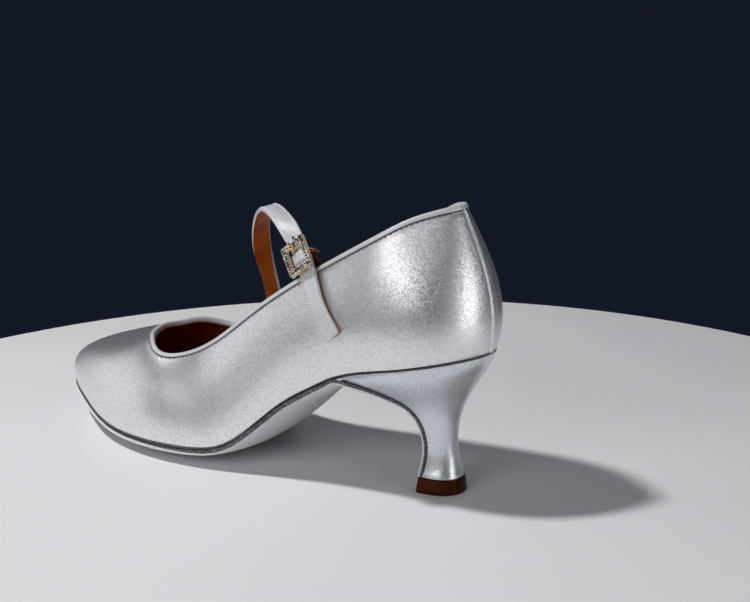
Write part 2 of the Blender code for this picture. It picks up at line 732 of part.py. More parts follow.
def build_buckle(look):
    """The square buckle: a flat frame over the strap, two legs and the bar under the strap."""
    middle, side, along, out = buckle_frame_axes()
    inner = BUCKLE_SIZE / 2 - BUCKLE_BAND
    low = STRAP_THICKNESS / 2 + GAP + BUCKLE_LIFT
    round_corner = BUCKLE_BAND / 2
    corner_turns = np.linspace(0, math.pi / 2, CORNER_STATIONS)
    rings = []
    for corner in range(4):
        for turn in corner * math.pi / 2 + corner_turns:
            middle_turn = (corner + 0.5) * math.pi / 2
            centre = (BUCKLE_SIZE / 2 - round_corner) * math.sqrt(2)
            cx, cy = centre * math.cos(middle_turn), centre * math.sin(middle_turn)
            edge = side * (cx + round_corner * math.cos(turn))
            edge = edge + along * (cy + round_corner * math.sin(turn))
            hole = math.sqrt(2) * inner
            bite = side * hole * math.cos(middle_turn) + along * hole * math.sin(middle_turn)
            spread = (turn - middle_turn) * round_corner / CORNER_STATIONS
            bite = bite + spread * (side * -math.sin(middle_turn) + along * math.cos(middle_turn))
            base = middle + out * low
            top = out * BUCKLE_DEPTH
            rings.append([base + edge, base + edge + top, base + bite + top, base + bite])
    frame = loft("buckle_frame", rings, look, closed=True)
    reach = inner + BUCKLE_BAND / 2
    drop = bar_depth() + low + BUCKLE_DEPTH / 2
    for hand in (-1, 1):
        leg = middle + side * hand * reach + out * (low + BUCKLE_DEPTH / 2 - drop / 2)
        sizes = (LEG_WIDTH, LEG_DEPTH, drop)
        add(frame, box("buckle_leg", leg, (side, along, out), sizes, look))
    line = middle - out * bar_depth()
    ends = [line - side * reach, line + side * reach]
    add(frame, rod("buckle_bar", ends, BAR_DIAMETER / 2, look, along, HOLE_SIDES))
    return frame


def build_prong(look):
    """The prong: it hooks round the bar, comes up through the strap and rests on the frame."""
    middle, side, along, out = buckle_frame_axes()
    radius = PRONG_DIAMETER / 2
    hook = BAR_DIAMETER / 2 + GAP + radius
    rest = STRAP_THICKNESS / 2 + 2 * GAP + BUCKLE_LIFT + BUCKLE_DEPTH + radius
    frame_end = -BUCKLE_SIZE / 2
    path = []
    for turn in np.linspace(0, -math.pi, HOOK_STATIONS):
        path.append((hook * math.cos(turn), hook * math.sin(turn) - bar_depth()))
    path += [
        (-HOLE_AHEAD, -STRAP_THICKNESS / 2),
        (-HOLE_AHEAD - radius, STRAP_THICKNESS),
        (frame_end + BUCKLE_BAND, rest),
        (frame_end, rest),
    ]
    path = np.array(path)
    step = np.linalg.norm(np.diff(path, axis=0), axis=1)
    knots = np.concatenate([[0], np.cumsum(step)])
    path = spline(knots, path, np.linspace(0, knots[-1], PRONG_STATIONS))
    points = [middle + along * s + out * n for s, n in path]
    return rod("buckle_prong", points, radius, look, side)


def build_tab(look):
    """The buckle's tab: sewn inside the outer wall, doubled round the bar and slotted."""
    middle, side, along, out = buckle_frame_axes()
    eye = BAR_DIAMETER / 2 + GAP + TAB_THICKNESS
    bar = middle - out * bar_depth()
    inside = -UPPER_WALL - BINDING_PROUD / 2 - STRAP_EASE - TAB_THICKNESS
    path, normals = [bar - along * eye, bar, bar + along * eye], [out, out, out]
    for down in (0, TAB_LENGTH / 2, TAB_LENGTH):
        point, normal = wall_point(FREE_TURN, down, inside)
        path.append(point)
        normals.append(normal)
    path = np.array(path)
    step = np.linalg.norm(np.diff(path, axis=0), axis=1)
    knots = np.concatenate([[0], np.cumsum(step)])
    round_end = eye * (1 - np.cos(np.linspace(0, math.pi / 2, EYE_STATIONS + 1)[1:]))
    at = np.concatenate([round_end, np.linspace(eye, knots[-1], TAB_STATIONS)[1:]])
    centre = spline(knots, path, at)
    travel = unit(spline(knots, path, at + GAP) - spline(knots, path, at - GAP))
    normal = spline(knots, np.array(normals), at)
    normal = unit(normal - travel * (normal * travel).sum(-1, keepdims=True))
    across_tab = np.cross(travel, normal)
    bulge = np.sqrt(np.clip(eye ** 2 - (at - eye) ** 2, 0, None))
    half = np.where(at < eye, bulge, np.maximum(bulge, TAB_THICKNESS))
    w = STRAP_WIDTH / 2 - GAP
    rings = [[c - a * w - n * h, c + a * w - n * h, c + a * w + n * h, c - a * w + n * h]
             for c, a, n, h in zip(centre, across_tab, normal, half)]
    tab = loft("buckle_tab", rings, look)
    ends = [bar - side * STRAP_WIDTH, bar + side * STRAP_WIDTH]
    cut(tab, rod("tab_eye_cutter", ends, BAR_DIAMETER / 2 + GAP, look, along, HOLE_SIDES))
    slot = bar - along * eye / 2
    through = 4 * eye
    cut(tab, box("tab_slot_cutter", slot, (side, along, out), (TAB_SLOT, through, through), look))
    return tab


LOOKS = {
    "upper": ((0.62, 0.64, 0.68), 0.35, 0.8),
    "topline_binding": ((0.80, 0.81, 0.84), 0.45, 0.4),
    "insole": ((0.55, 0.24, 0.08), 0.55, 0.0),
    "outsole": ((0.42, 0.42, 0.45), 0.8, 0.0),
    "heel": ((0.62, 0.64, 0.68), 0.35, 0.8),
    "heel_tip": ((0.16, 0.03, 0.02), 0.15, 0.0),
    "strap": ((0.80, 0.81, 0.84), 0.45, 0.4),
    "buckle_tab": ((0.55, 0.24, 0.08), 0.55, 0.0),
    "buckle_frame": ((0.83, 0.62, 0.30), 0.25, 1.0),
    "buckle_prong": ((0.83, 0.62, 0.30), 0.25, 1.0),
}


def main():
    """Clears the scene and builds every piece."""
    for old in list(bpy.data.objects):
        bpy.data.objects.remove(old)
    looks = {name: material(name, *values) for name, values in LOOKS.items()}
    build_upper(looks["upper"])
    build_binding(looks["topline_binding"])
    build_insole(looks["insole"])
    build_outsole(looks["outsole"])
    build_heel(looks["heel"])
    build_tip(looks["heel_tip"])
    build_strap(looks["strap"])
    build_tab(looks["buckle_tab"])
    build_buckle(looks["buckle_frame"])
    build_prong(looks["buckle_prong"])


main()
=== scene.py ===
"""Looks of the ballroom dance shoe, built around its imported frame.

The frame: +X to the toe, +Y to the wearer's left (the shoe's outer side), +Z up, in metres.
The shapes are laid out as in the part's own source, only finer and with their details.
"""
import math

import bmesh
import bpy
import numpy as np
from mathutils import Matrix, Vector


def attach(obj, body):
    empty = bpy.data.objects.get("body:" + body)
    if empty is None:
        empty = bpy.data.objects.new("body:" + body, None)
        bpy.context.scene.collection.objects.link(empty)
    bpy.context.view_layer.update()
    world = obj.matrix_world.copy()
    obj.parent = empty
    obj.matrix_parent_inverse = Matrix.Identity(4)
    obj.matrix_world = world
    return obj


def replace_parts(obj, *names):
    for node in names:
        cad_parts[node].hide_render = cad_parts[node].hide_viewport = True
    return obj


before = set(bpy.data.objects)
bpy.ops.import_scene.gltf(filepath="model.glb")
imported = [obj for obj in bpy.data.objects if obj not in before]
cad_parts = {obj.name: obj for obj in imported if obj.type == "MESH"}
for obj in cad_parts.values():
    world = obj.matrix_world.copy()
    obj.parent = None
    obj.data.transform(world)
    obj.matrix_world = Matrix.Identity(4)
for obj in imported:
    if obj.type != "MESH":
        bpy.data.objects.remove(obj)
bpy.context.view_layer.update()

# Overall sizes, as in the part's source
SOLE_LENGTH = 0.219
SEAT_OVERHANG = 0.022
BALL_WIDTH = 0.074
SEAT_WIDTH = 0.052
HEEL_RISE = 0.051
TOE_SPRING = 0.0085
BACK_HEIGHT = 0.057
INSTEP_HEIGHT = 0.040
UPPER_WALL = 0.002
SEAM_WIDTH = 0.0014
SEAM_PROUD = 0.0005
BINDING_DEPTH = 0.0022
BINDING_PROUD = 0.0004
GAP = 0.00035
OUTSOLE_THICKNESS = 0.0022
OUTSOLE_MARGIN = 0.0006
SOLE_CROWN = 0.0046
SOLE_FLAT = 0.0004
INSOLE_THICKNESS = 0.0028
BREAST_AHEAD = 0.0315
NECK_WIDTH = 0.0122
TIP_HEIGHT = 0.0062
TIP_DEPTH = 0.0148
TIP_WIDTH = 0.0184
TIP_CORNER = 0.0016
TIP_FLARE = 0.0008
BACK_FULLNESS = 0.8
SIDE_FULLNESS = 0.9
FLAP_LEAD = (1.5, 1.3, 1.15)
CROWN_FADE = 3
STRAP_WIDTH = 0.0075
STRAP_THICKNESS = 0.0016
STRAP_EASE = 0.0009
STRAP_HOLE = 0.0023
STRAP_HOLE_STEP = 0.0068
STRAP_RISE = 0.042
STRAP_REACH = 0.0235
FREE_LENGTH = 0.029
SEWN_LENGTH = 0.012
TAB_LENGTH = 0.012
BUCKLE_AT = 0.0342
HOLE_AHEAD = 0.0018
HOLES_ABOVE = 1
HOLES_BELOW = 1
BUCKLE_SIZE = 0.0128
BUCKLE_BAND = 0.0027
BUCKLE_DEPTH = 0.0018
BAR_DIAMETER = 0.0014
PRONG_DIAMETER = 0.0012
TAB_THICKNESS = 0.0010
TAB_SLOT = 0.0022
BUCKLE_LIFT = 0.0010
FREE_TURN = 0.137
FREE_SLANT = -0.019
SEWN_TURN = 0.750

PROFILE_COLUMNS = ("along", "lift", "spring", "dish", "crown")
PROFILE = (
    (0.00, 1.000, 0.00, 0.0, 0.00),
    (0.06, 0.960, 0.00, 0.0, 0.00),
    (0.12, 0.910, 0.00, 0.0, 0.00),
    (0.18, 0.860, 0.00, 0.0, 0.00),
    (0.24, 0.780, 0.00, 0.0, 0.25),
    (0.30, 0.645, 0.00, 0.0, 0.30),
    (0.36, 0.485, 0.00, 0.1, 0.35),
    (0.42, 0.270, 0.00, 0.2, 0.45),
    (0.48, 0.085, 0.00, 0.5, 0.70),
    (0.54, 0.022, 0.00, 0.9, 0.95),
    (0.60, 0.008, 0.00, 1.0, 1.00),
    (0.70, 0.000, 0.00, 1.0, 1.00),
    (0.80, 0.000, 0.14, 0.9, 0.90),
    (0.90, 0.000, 0.58, 0.6, 0.60),
    (1.00, 0.000, 1.00, 0.3, 0.30),
)

RIB_COLUMNS = ("zone", "along", "outer", "inner", "skew", "top_along", "top_outer", "top_inner",
               "rise", "belly_out", "belly_up", "shoulder_out", "shoulder_down")
RIBS = (
    ("quarter", 0.000, 0.00, 0.00, 0.000, 0.053, 0.00, 0.00, 1.00, 0.20, 0.37, 0.35, 0.32),
    ("quarter", 0.050, 0.68, 0.70, 0.000, 0.106, 0.49, 0.51, 0.98, 0.30, 0.33, 0.36, 0.33),
    ("quarter", 0.120, 0.93, 0.96, 0.000, 0.158, 0.76, 0.78, 0.91, 0.31, 0.32, 0.27, 0.32),
    ("quarter", 0.250, 0.99, 0.93, 0.000, 0.292, 0.86, 0.88, 0.81, 0.27, 0.28, 0.23, 0.26),
    ("quarter", 0.388, 1.08, 0.81, 0.000, 0.427, 0.90, 0.90, 0.85, 0.23, 0.25, 0.23, 0.21),
    ("vamp", 0.504, 0.92, 0.73, 0.010, 0.547, 0.60, 0.60, 1.04, 0.14, 0.30, 0.22, 0.20),
    ("vamp", 0.631, 1.01, 0.98, 0.036, 0.644, 0.68, 0.62, 0.90, 0.14, 0.30, 0.25, 0.12),
    ("vamp", 0.766, 0.89, 0.97, 0.018, 0.700, 0.49, 0.39, 0.99, 0.13, 0.30, 0.35, 0.10),
    ("vamp", 0.898, 0.54, 0.68, 0.005, 0.730, 0.25, 0.18, 0.98, 0.15, 0.35, 0.54, 0.11),
    ("vamp", 1.000, 0.00, 0.05, 0.000, 0.743, 0.03, 0.00, 0.98, 0.17, 0.38, 0.70, 0.20),
)

HEEL_COLUMNS = ("ahead", "up", "behind", "back_up", "spread", "rounding")
HEEL = (
    (1.000, 1.000, 1.00, 1.000, 1.00, 0.0),
    (0.870, 0.985, 0.96, 0.950, 0.93, 0.1),
    (0.620, 0.930, 0.85, 0.875, 0.76, 0.3),
    (0.400, 0.850, 0.70, 0.785, 0.52, 0.5),
    (0.235, 0.755, 0.54, 0.690, 0.29, 0.7),
    (0.140, 0.615, 0.39, 0.570, 0.10, 0.9),
    (0.095, 0.470, 0.31, 0.440, 0.02, 1.0),
    (0.090, 0.390, 0.29, 0.337, 0.00, 1.0),
    (0.099, 0.255, 0.33, 0.210, 0.04, 1.0),
    (0.115, 0.140, 0.39, 0.110, 0.13, 1.0),
)

ARCH_COLUMNS = ("along", "out", "up", "slope")
ARCH = (
    (0.17, 0.85, 0.39, 27),
    (0.36, 0.62, 0.69, -27),
    (0.61, 0.32, 0.98, -2),
    (0.89, -0.14, 0.86, 26),
    (1.00, -0.72, 0.23, 23),
)

# How finely the pieces are divided
UPPER_STATIONS = 420
UPPER_ROWS = 52
RIB_SAMPLES = 121
OUTLINE_SAMPLES = 1440
SOLE_ROWS = 110
LEAD_ROWS = 16
SOLE_ACROSS = 28
HEEL_STATIONS = 97
HEEL_STEPS = 70
STRAP_STATIONS = 260
NUDGE = 0.0005
SMOOTH_ANGLE = 35


def spline(knots, values, at, period=None):
    """Cubic spline through the values at the knots, natural or periodic."""
    knots = np.asarray(knots, float)
    values = np.asarray(values, float)
    flat = values.ndim == 1
    if flat:
        values = values[:, None]
    at = np.asarray(at, float)
    if period is not None:
        at = (at - knots[0]) % period + knots[0]
        knots = np.append(knots, knots[0] + period)
        values = np.vstack([values, values[:1]])
    count = len(knots)
    step = np.diff(knots)
    slope = np.diff(values, axis=0) / step[:, None]
    matrix = np.eye(count)
    right = np.zeros_like(values)
    for i in range(1, count - 1):
        matrix[i, i - 1:i + 2] = (step[i - 1], 2 * (step[i - 1] + step[i]), step[i])
        right[i] = 6 * (slope[i] - slope[i - 1])
    if period is not None:
        matrix[0, 0], matrix[0, 1] = 2 * (step[-1] + step[0]), step[0]
        matrix[0, -2] += step[-1]
        right[0] = 6 * (slope[0] - slope[-1])
        matrix[-1, 0] = -1
    bend = np.linalg.solve(matrix, right)
    cell = np.clip(np.searchsorted(knots, at, side="right") - 1, 0, count - 2)
    width = step[cell][..., None]
    after = (knots[cell + 1][..., None] - at[..., None]) / width
    before = 1 - after
    curve = after * values[cell] + before * values[cell + 1]
    sway = (after ** 3 - after) * bend[cell] + (before ** 3 - before) * bend[cell + 1]
    curve = curve + sway * width ** 2 / 6
    return curve[..., 0] if flat else curve


def column(table, columns, name):
    """One named column of a table, as numbers."""
    return np.array([row[columns.index(name)] for row in table], float)


def unit(vectors):
    """The same vectors with a length of one."""
    return vectors / np.linalg.norm(vectors, axis=-1, keepdims=True)


def smooth(value, low, high):
    """0 below low, 1 above high, and an even curve between them."""
    t = np.clip((value - low) / (high - low), 0, 1)
    return t * t * (3 - 2 * t)


def run_along(points):
    """Length along a row of points, from the first one to each."""
    step = np.linalg.norm(np.diff(points, axis=0), axis=1)
    return np.concatenate([[0], np.cumsum(step)])


def round_over(share):
    """How far a quarter round has fallen, from 0 at a share of 0 to 1 at 1."""
    return 1 - np.sqrt(1 - np.clip(share, 0, 1) ** 2)


def square_to(travel, normal):
    """The normals, made square to the directions of travel."""
    return unit(normal - travel * (normal * travel).sum(-1, keepdims=True))


def bell(value, width):
    """1 at 0, falling to almost nothing at twice the width."""
    return np.exp(-(value / width) ** 2)


def along_x(share):
    """Place on the X axis of a share of the sole's length, from the back of the seat."""
    return share * SOLE_LENGTH - SEAT_OVERHANG


def profile(name, x):
    """A named column of the profile table at places along the shoe."""
    knots = along_x(column(PROFILE, PROFILE_COLUMNS, "along"))
    return spline(knots, column(PROFILE, PROFILE_COLUMNS, name), x)


def feather_height(x):
    """Height of the feather line above the floor."""
    ball = OUTSOLE_THICKNESS + SOLE_CROWN - SOLE_FLAT
    return ball + HEEL_RISE * profile("lift", x) + TOE_SPRING * profile("spring", x)


def sag(name, x):
    """How far the middle of the sole's top or underside hangs below its edge."""
    return SOLE_CROWN * np.clip(profile(name, x), 0, None)


def rib_points():
    """Feather, belly, shoulder and top points of every rib, round the shoe from the back."""
    rows = []
    names = [dict(zip(RIB_COLUMNS, row)) for row in RIBS]
    for side, ribs in ((1, names), (-1, names[-2:0:-1])):
        for rib in ribs:
            outer = side > 0
            quarter = rib["zone"] == "quarter"
            half = (SEAT_WIDTH if quarter else BALL_WIDTH) / 2
            height = BACK_HEIGHT if quarter else INSTEP_HEIGHT
            rows.append((
                along_x(rib["along"] + (0 if outer else rib["skew"])),
                side * half * (rib["outer"] if outer else rib["inner"]),
                along_x(rib["top_along"]),
                side * half * (rib["top_outer"] if outer else rib["top_inner"]),
                height * rib["rise"],
                half * rib["belly_out"],
                height * rib["belly_up"],
                half * rib["shoulder_out"],
                height * rib["shoulder_down"],
            ))
    return np.array(rows).T


def control_loops():
    """Spline knots, their period, and the four control points of each rib."""
    x, y, top_x, top_y, rise, belly_out, belly_up, shoulder_out, shoulder_down = rib_points()
    plan = np.column_stack([x, y])
    step = np.linalg.norm(np.roll(plan, -1, 0) - plan, axis=1)
    knots = np.concatenate([[0], np.cumsum(step)[:-1]])
    period = step.sum()
    small = period * NUDGE
    travel = spline(knots, plan, knots + small, period) - spline(knots, plan, knots - small, period)
    outward = unit(np.column_stack([-travel[:, 1], travel[:, 0], 0 * x]))
    up = np.array([0, 0, 1.0])
    feather = np.column_stack([x, y, feather_height(x)])
    top = np.column_stack([top_x, top_y, feather_height(top_x) + rise])
    belly = feather + outward * belly_out[:, None] + up * belly_up[:, None]
    shoulder = top + outward * shoulder_out[:, None] - up * shoulder_down[:, None]
    return knots, period, (feather, belly, shoulder, top)


LOOPS = control_loops()
PERIOD = LOOPS[1]


def upper_surface(turn, rise):
    """Points of the upper's outer face: turn runs round the shoe, rise up each rib."""
    knots, period, loops = LOOPS
    feather, belly, shoulder, top = (spline(knots, loop, turn * period, period) for loop in loops)
    feather[..., 2] = feather_height(feather[..., 0]) + GAP
    t = rise[..., None]
    left = 1 - t
    return (left ** 3 * feather + 3 * left ** 2 * t * belly + 3 * left * t ** 2 * shoulder
            + t ** 3 * top)


def upper_frame(turn, rise):
    """Points of the upper's outer face, with their outward normals."""
    point = upper_surface(turn, rise)
    round_shoe = upper_surface(turn + NUDGE, rise) - upper_surface(turn - NUDGE, rise)
    higher, lower = np.minimum(rise + NUDGE, 1), np.maximum(rise - NUDGE, 0)
    up_rib = upper_surface(turn, higher) - upper_surface(turn, lower)
    return point, unit(np.cross(up_rib, round_shoe))


def upper_grid(turn, heights):
    """Points and normals at lengths up each rib, given as functions of its whole length."""
    fine = np.linspace(0, 1, RIB_SAMPLES)
    turns, rises = np.meshgrid(turn, fine)
    ribs = upper_surface(turns, rises)
    run = np.linalg.norm(np.diff(ribs, axis=0), axis=2)
    length = np.vstack([0 * turn, np.cumsum(run, axis=0)])
    rows = []
    for height in heights:
        wanted = height(length[-1])
        rows.append([np.interp(wanted[i], length[:, i], fine) for i in range(len(turn))])
    rises = np.array(rows)
    return upper_frame(np.broadcast_to(turn, rises.shape), rises)


def feather_outline(inset):
    """Closed plan curve at an inset from the feather line, from the back round the outer side."""
    turn = np.arange(OUTLINE_SAMPLES) / OUTLINE_SAMPLES
    point, normal = upper_frame(turn, 0 * turn)
    level = unit(normal[:, :2])
    return point[:, :2] - level * inset


def halves_at(outline, x):
    """Where the outline's outer and inner sides lie at places along the shoe."""
    toe = int(outline[:, 0].argmax())
    back = int(outline[:, 0].argmin())
    turned = np.roll(outline, -back, axis=0)
    toe = (toe - back) % len(outline)
    outer = turned[:toe + 1]
    inner = np.vstack([turned[toe:], turned[:1]])[::-1]
    return np.interp(x, outer[:, 0], outer[:, 1]), np.interp(x, inner[:, 0], inner[:, 1])


def rounded_steps(start, end, count, round_start):
    """Places from start to end, closer together towards a round end."""
    turn = np.linspace(0, 1, count)
    both = (1 - np.cos(math.pi * turn)) / 2
    late = np.sin(math.pi / 2 * turn)
    return start + (end - start) * (both if round_start else late)


def flap_path():
    """Side view of the sole's upper face where it runs down the heel."""
    ahead = column(HEEL, HEEL_COLUMNS, "ahead") * BREAST_AHEAD
    up = column(HEEL, HEEL_COLUMNS, "up") * feather_height(BREAST_AHEAD)
    lead = BREAST_AHEAD * np.array(FLAP_LEAD)
    below = np.column_stack([lead, feather_height(lead)])
    points = np.vstack([below, np.column_stack([ahead, up])])
    return run_along(points), points, len(lead)


def heel_rows(count):
    """Heel sections at even steps: front and back points, half width and rounding."""
    knots, points, lead = flap_path()
    run = knots[lead:]
    at = np.linspace(run[0], run[-1], count)
    front = spline(knots, points, at)
    travel = unit(spline(knots, points, at + GAP) - spline(knots, points, at - GAP))
    ahead = np.column_stack([-travel[:, 1], travel[:, 0]])
    seat = feather_height(along_x(0.0))
    behind = -SEAT_OVERHANG * spline(run, column(HEEL, HEEL_COLUMNS, "behind"), at)
    back_up = seat * spline(run, column(HEEL, HEEL_COLUMNS, "back_up"), at)
    spread = spline(run, column(HEEL, HEEL_COLUMNS, "spread"), at)
    outer, inner = halves_at(feather_outline(0), BREAST_AHEAD)
    neck = NECK_WIDTH / 2
    outer = neck + (outer - neck) * spread
    inner = -neck + (inner + neck) * spread
    rounding = spline(run, column(HEEL, HEEL_COLUMNS, "rounding"), at)
    return front, np.column_stack([behind, back_up]), outer, inner, np.clip(rounding, 0, 1), ahead


def half_round(count):
    """A D-shaped outline from front corner to front corner: depth from the front, and width."""
    turn = np.linspace(-math.pi / 2, math.pi / 2, count)
    return np.cos(turn) ** BACK_FULLNESS, -np.sign(turn) * np.abs(np.sin(turn)) ** SIDE_FULLNESS


def seat_outline(count):
    """The feather line round the seat, from the breast's outer end to its inner end."""
    outline = feather_outline(0)
    back = int(outline[:, 0].argmin())
    turned = np.roll(outline, len(outline) // 2 - back, axis=0)
    seat = turned[turned[:, 0] < BREAST_AHEAD - GAP][::-1]
    length = run_along(seat)
    at = np.linspace(0, length[-1], count)
    return np.column_stack([np.interp(at, length, seat[:, i]) for i in (0, 1)])


def wall_point(turn, down, outward):
    """A point beside the upper's wall: down from the topline, and outward from the outer face."""
    point, normal = upper_grid(np.array([turn]), [lambda length: length - down])
    return point[0, 0] + normal[0, 0] * outward, normal[0, 0]


def strap_knots():
    """Middle points and outward normals along the strap, from its free end to its sewn end."""
    over = BINDING_PROUD + STRAP_EASE + STRAP_THICKNESS / 2
    under = -UPPER_WALL - BINDING_PROUD / 2 - STRAP_EASE - STRAP_THICKNESS / 2
    points, normals = [], []
    for share in (1, 0.5, 0):
        point, normal = wall_point(FREE_TURN + FREE_SLANT * share, FREE_LENGTH * share, over)
        points.append(point)
        normals.append(normal)
    outer_top, inner_top = points[-1], wall_point(SEWN_TURN, 0, under)[0]
    for row in ARCH:
        place = dict(zip(ARCH_COLUMNS, row))
        base = outer_top + (inner_top - outer_top) * place["along"]
        point = base * (1, 0, 1) + (0, place["out"] * STRAP_REACH, place["up"] * STRAP_RISE)
        away = point - base * (1, 0, 1)
        slope = math.radians(place["slope"])
        axis = np.array([math.cos(slope), 0, -math.sin(slope)])
        points.append(point)
        normals.append(unit(away - axis * (away @ axis)))
    for down in (0, SEWN_LENGTH / 2, SEWN_LENGTH):
        point, normal = wall_point(SEWN_TURN, down, under)
        points.append(point)
        normals.append(normal)
    return np.array(points), np.array(normals)


STRAP_POINTS, STRAP_NORMALS = strap_knots()
STRAP_RUN = run_along(STRAP_POINTS)


def strap_frames(at):
    """Middle, across, along and outward vectors at lengths along the strap."""
    at = np.atleast_1d(at)
    small = STRAP_RUN[-1] * NUDGE
    moves = (0, -small, small)
    middle, behind, ahead = (spline(STRAP_RUN, STRAP_POINTS, at + move) for move in moves)
    along = unit(behind - ahead)
    normal = square_to(along, spline(STRAP_RUN, STRAP_NORMALS, at))
    return middle, np.cross(along, normal), along, normal


BUCKLE_AXES = [value[0] for value in strap_frames(BUCKLE_AT)]
BUCKLE_LOW = STRAP_THICKNESS / 2 + GAP + BUCKLE_LIFT  # its underside, above the strap's middle


def shown(name, data):
    """A new object of the data, in the scene."""
    thing = bpy.data.objects.new(name, data)
    bpy.context.scene.collection.objects.link(thing)
    return thing


def smooth_piece(name, points, faces, looks, face_looks=None):
    """A shown piece of the given points and faces, smooth but for its sharp edges."""
    mesh = bpy.data.meshes.new(name)
    mesh.from_pydata(np.asarray(points).tolist(), [], faces)
    for look in looks:
        mesh.materials.append(look)
    if face_looks is not None:
        mesh.polygons.foreach_set("material_index", np.asarray(face_looks, np.int32))
    work = bmesh.new()
    work.from_mesh(mesh)
    bmesh.ops.recalc_face_normals(work, faces=work.faces)
    work.to_mesh(mesh)
    work.free()
    mesh.shade_smooth()
    mesh.set_sharp_from_angle(angle=math.radians(SMOOTH_ANGLE))
    return shown(name, mesh)


def side_faces(near, far, size):
    """The faces between two rings of points, given by their first points."""
    return [(near + j, near + (j + 1) % size, far + (j + 1) % size, far + j) for j in range(size)]


def loft(name, rings, looks, closed=False, ring_looks=None):
    """A closed skin through rings of equal count; ring_looks gives a look for each face place."""
    rings = np.asarray(rings)
    count, size = rings.shape[:2]
    faces, places = [], []
    for i in range(count if closed else count - 1):
        faces += side_faces(i * size, (i + 1) % count * size, size)
        places += ring_looks or [0] * size
    for start in () if closed else (0, (count - 1) * size):
        last = start + size - 1
        faces += [(start + j, start + j + 1, last - 1 - j, last - j) for j in range(size // 2 - 1)]
        if size % 2:
            middle = start + size // 2
            faces.append((middle - 1, middle, middle + 1))
    places += [0] * (len(faces) - len(places))
    return smooth_piece(name, rings.reshape(-1, 3), faces, looks, places)


def rides(piece):
    """The piece rides on the part."""
    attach(piece, "root")
    return piece


def stands_for(piece, node):
    """The piece rides on the part and takes the node's place."""
    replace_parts(rides(piece), node)
    return piece


def tube(path, sides, radii, up):
    """Rings of a round rod along a path, with its radius at each point."""
    travel = unit(np.gradient(path, axis=0))
    lift = unit(np.cross(travel, up))
    side = np.cross(lift, travel)
    turn = np.arange(sides) * 2 * math.pi / sides
    ring = np.cos(turn)[:, None] * lift[:, None] + np.sin(turn)[:, None] * side[:, None]
    return path[:, None] + ring * np.asarray(radii)[:, None, None]


def joined(name, parts, looks):
    """One piece from many ring sets, each closed at both ends."""
    points, faces, total = [], [], 0
    for rings in parts:
        count, size = rings.shape[:2]
        points.append(rings.reshape(-1, 3))
        for i in range(count - 1):
            faces += side_faces(total + i * size, total + (i + 1) * size, size)
        faces.append(tuple(range(total, total + size))[::-1])
        total += count * size
        faces.append(tuple(range(total - size, total)))
    return smooth_piece(name, np.vstack(points), faces, looks)


THREAD = 0.00022  # radius of the sewing thread


def stitch_row(path, normal, spacing, length):
    """Short threads along a path, each dipping into the leather at its ends."""
    run = run_along(path)
    count = int(run[-1] / spacing)
    spacing = run[-1] / count
    share = np.linspace(0, 1, 5)
    arc = 1 - (2 * share - 1) ** 2
    parts = []
    for i in range(count):
        at = (i + 0.5) * spacing - length / 2 + length * share
        centre, out = (np.column_stack([np.interp(at, run, values[:, k]) for k in range(3)])
                       for values in (path, normal))
        out = unit(out)
        centre = centre + out * ((arc * 1.1 - 0.75) * THREAD)[:, None]
        side = np.cross(unit(np.gradient(centre, axis=0)), out)
        parts.append(tube(centre, 6, THREAD * (0.75 + 0.25 * arc), side))
    return parts


# Materials

def wire(node, **sockets):
    """Feeds a node's sockets, each from an output or with a value; _ in a name is a space."""
    for name, value in sockets.items():
        socket = node.inputs[name.replace("_", " ")]
        if isinstance(value, bpy.types.NodeSocket):
            node.id_data.links.new(value, socket)
        else:
            socket.default_value = value
    return node


def added(source, kind, **sockets):
    """A new node in the tree of a node or socket, with its own sockets fed."""
    return wire(source.id_data.nodes.new("ShaderNode" + kind), **sockets)


def node_look(name, colour, roughness, **sockets):
    """A new material, its shader and the part's own coordinates."""
    look = bpy.data.materials.new(name)
    look.use_nodes = True
    shader = look.node_tree.nodes["Principled BSDF"]
    wire(shader, Base_Color=(*colour, 1), Roughness=roughness, Coat_Roughness=0.25)
    wire(shader, **sockets)
    return look, shader, added(shader, "TexCoord").outputs["Object"]


def noise(place, scale, detail=2.0, roughness=0.5):
    """A noise texture of so many features a metre."""
    node = added(place, "TexNoise", Vector=place, Scale=scale, Detail=detail, Roughness=roughness)
    return node.outputs["Fac"]


def cells(place, scale, output, feature="F1"):
    """A Voronoi texture of so many cells a metre."""
    node = added(place, "TexVoronoi", Vector=place, Scale=scale)
    node.feature = feature
    return node.outputs[output]


def ramp(value, low, high, first, last):
    """Colours between two values of a texture."""
    node = added(value, "ValToRGB", Fac=value)
    for stop, at, colour in zip(node.color_ramp.elements, (low, high), (first, last)):
        stop.position, stop.color = at, (*colour, 1)
    return node.outputs["Color"]


def level(value, low, high, first, last):
    """A number between two, from a texture's value."""
    node = added(value, "MapRange", Value=value, From_Min=low, From_Max=high,
                 To_Min=first, To_Max=last)
    return node.outputs["Result"]


def bump(height, strength, distance, **before):
    """A bump of so many metres, over an earlier one given as Normal."""
    node = added(height, "Bump", Height=height, Strength=strength, Distance=distance, **before)
    return node.outputs["Normal"]


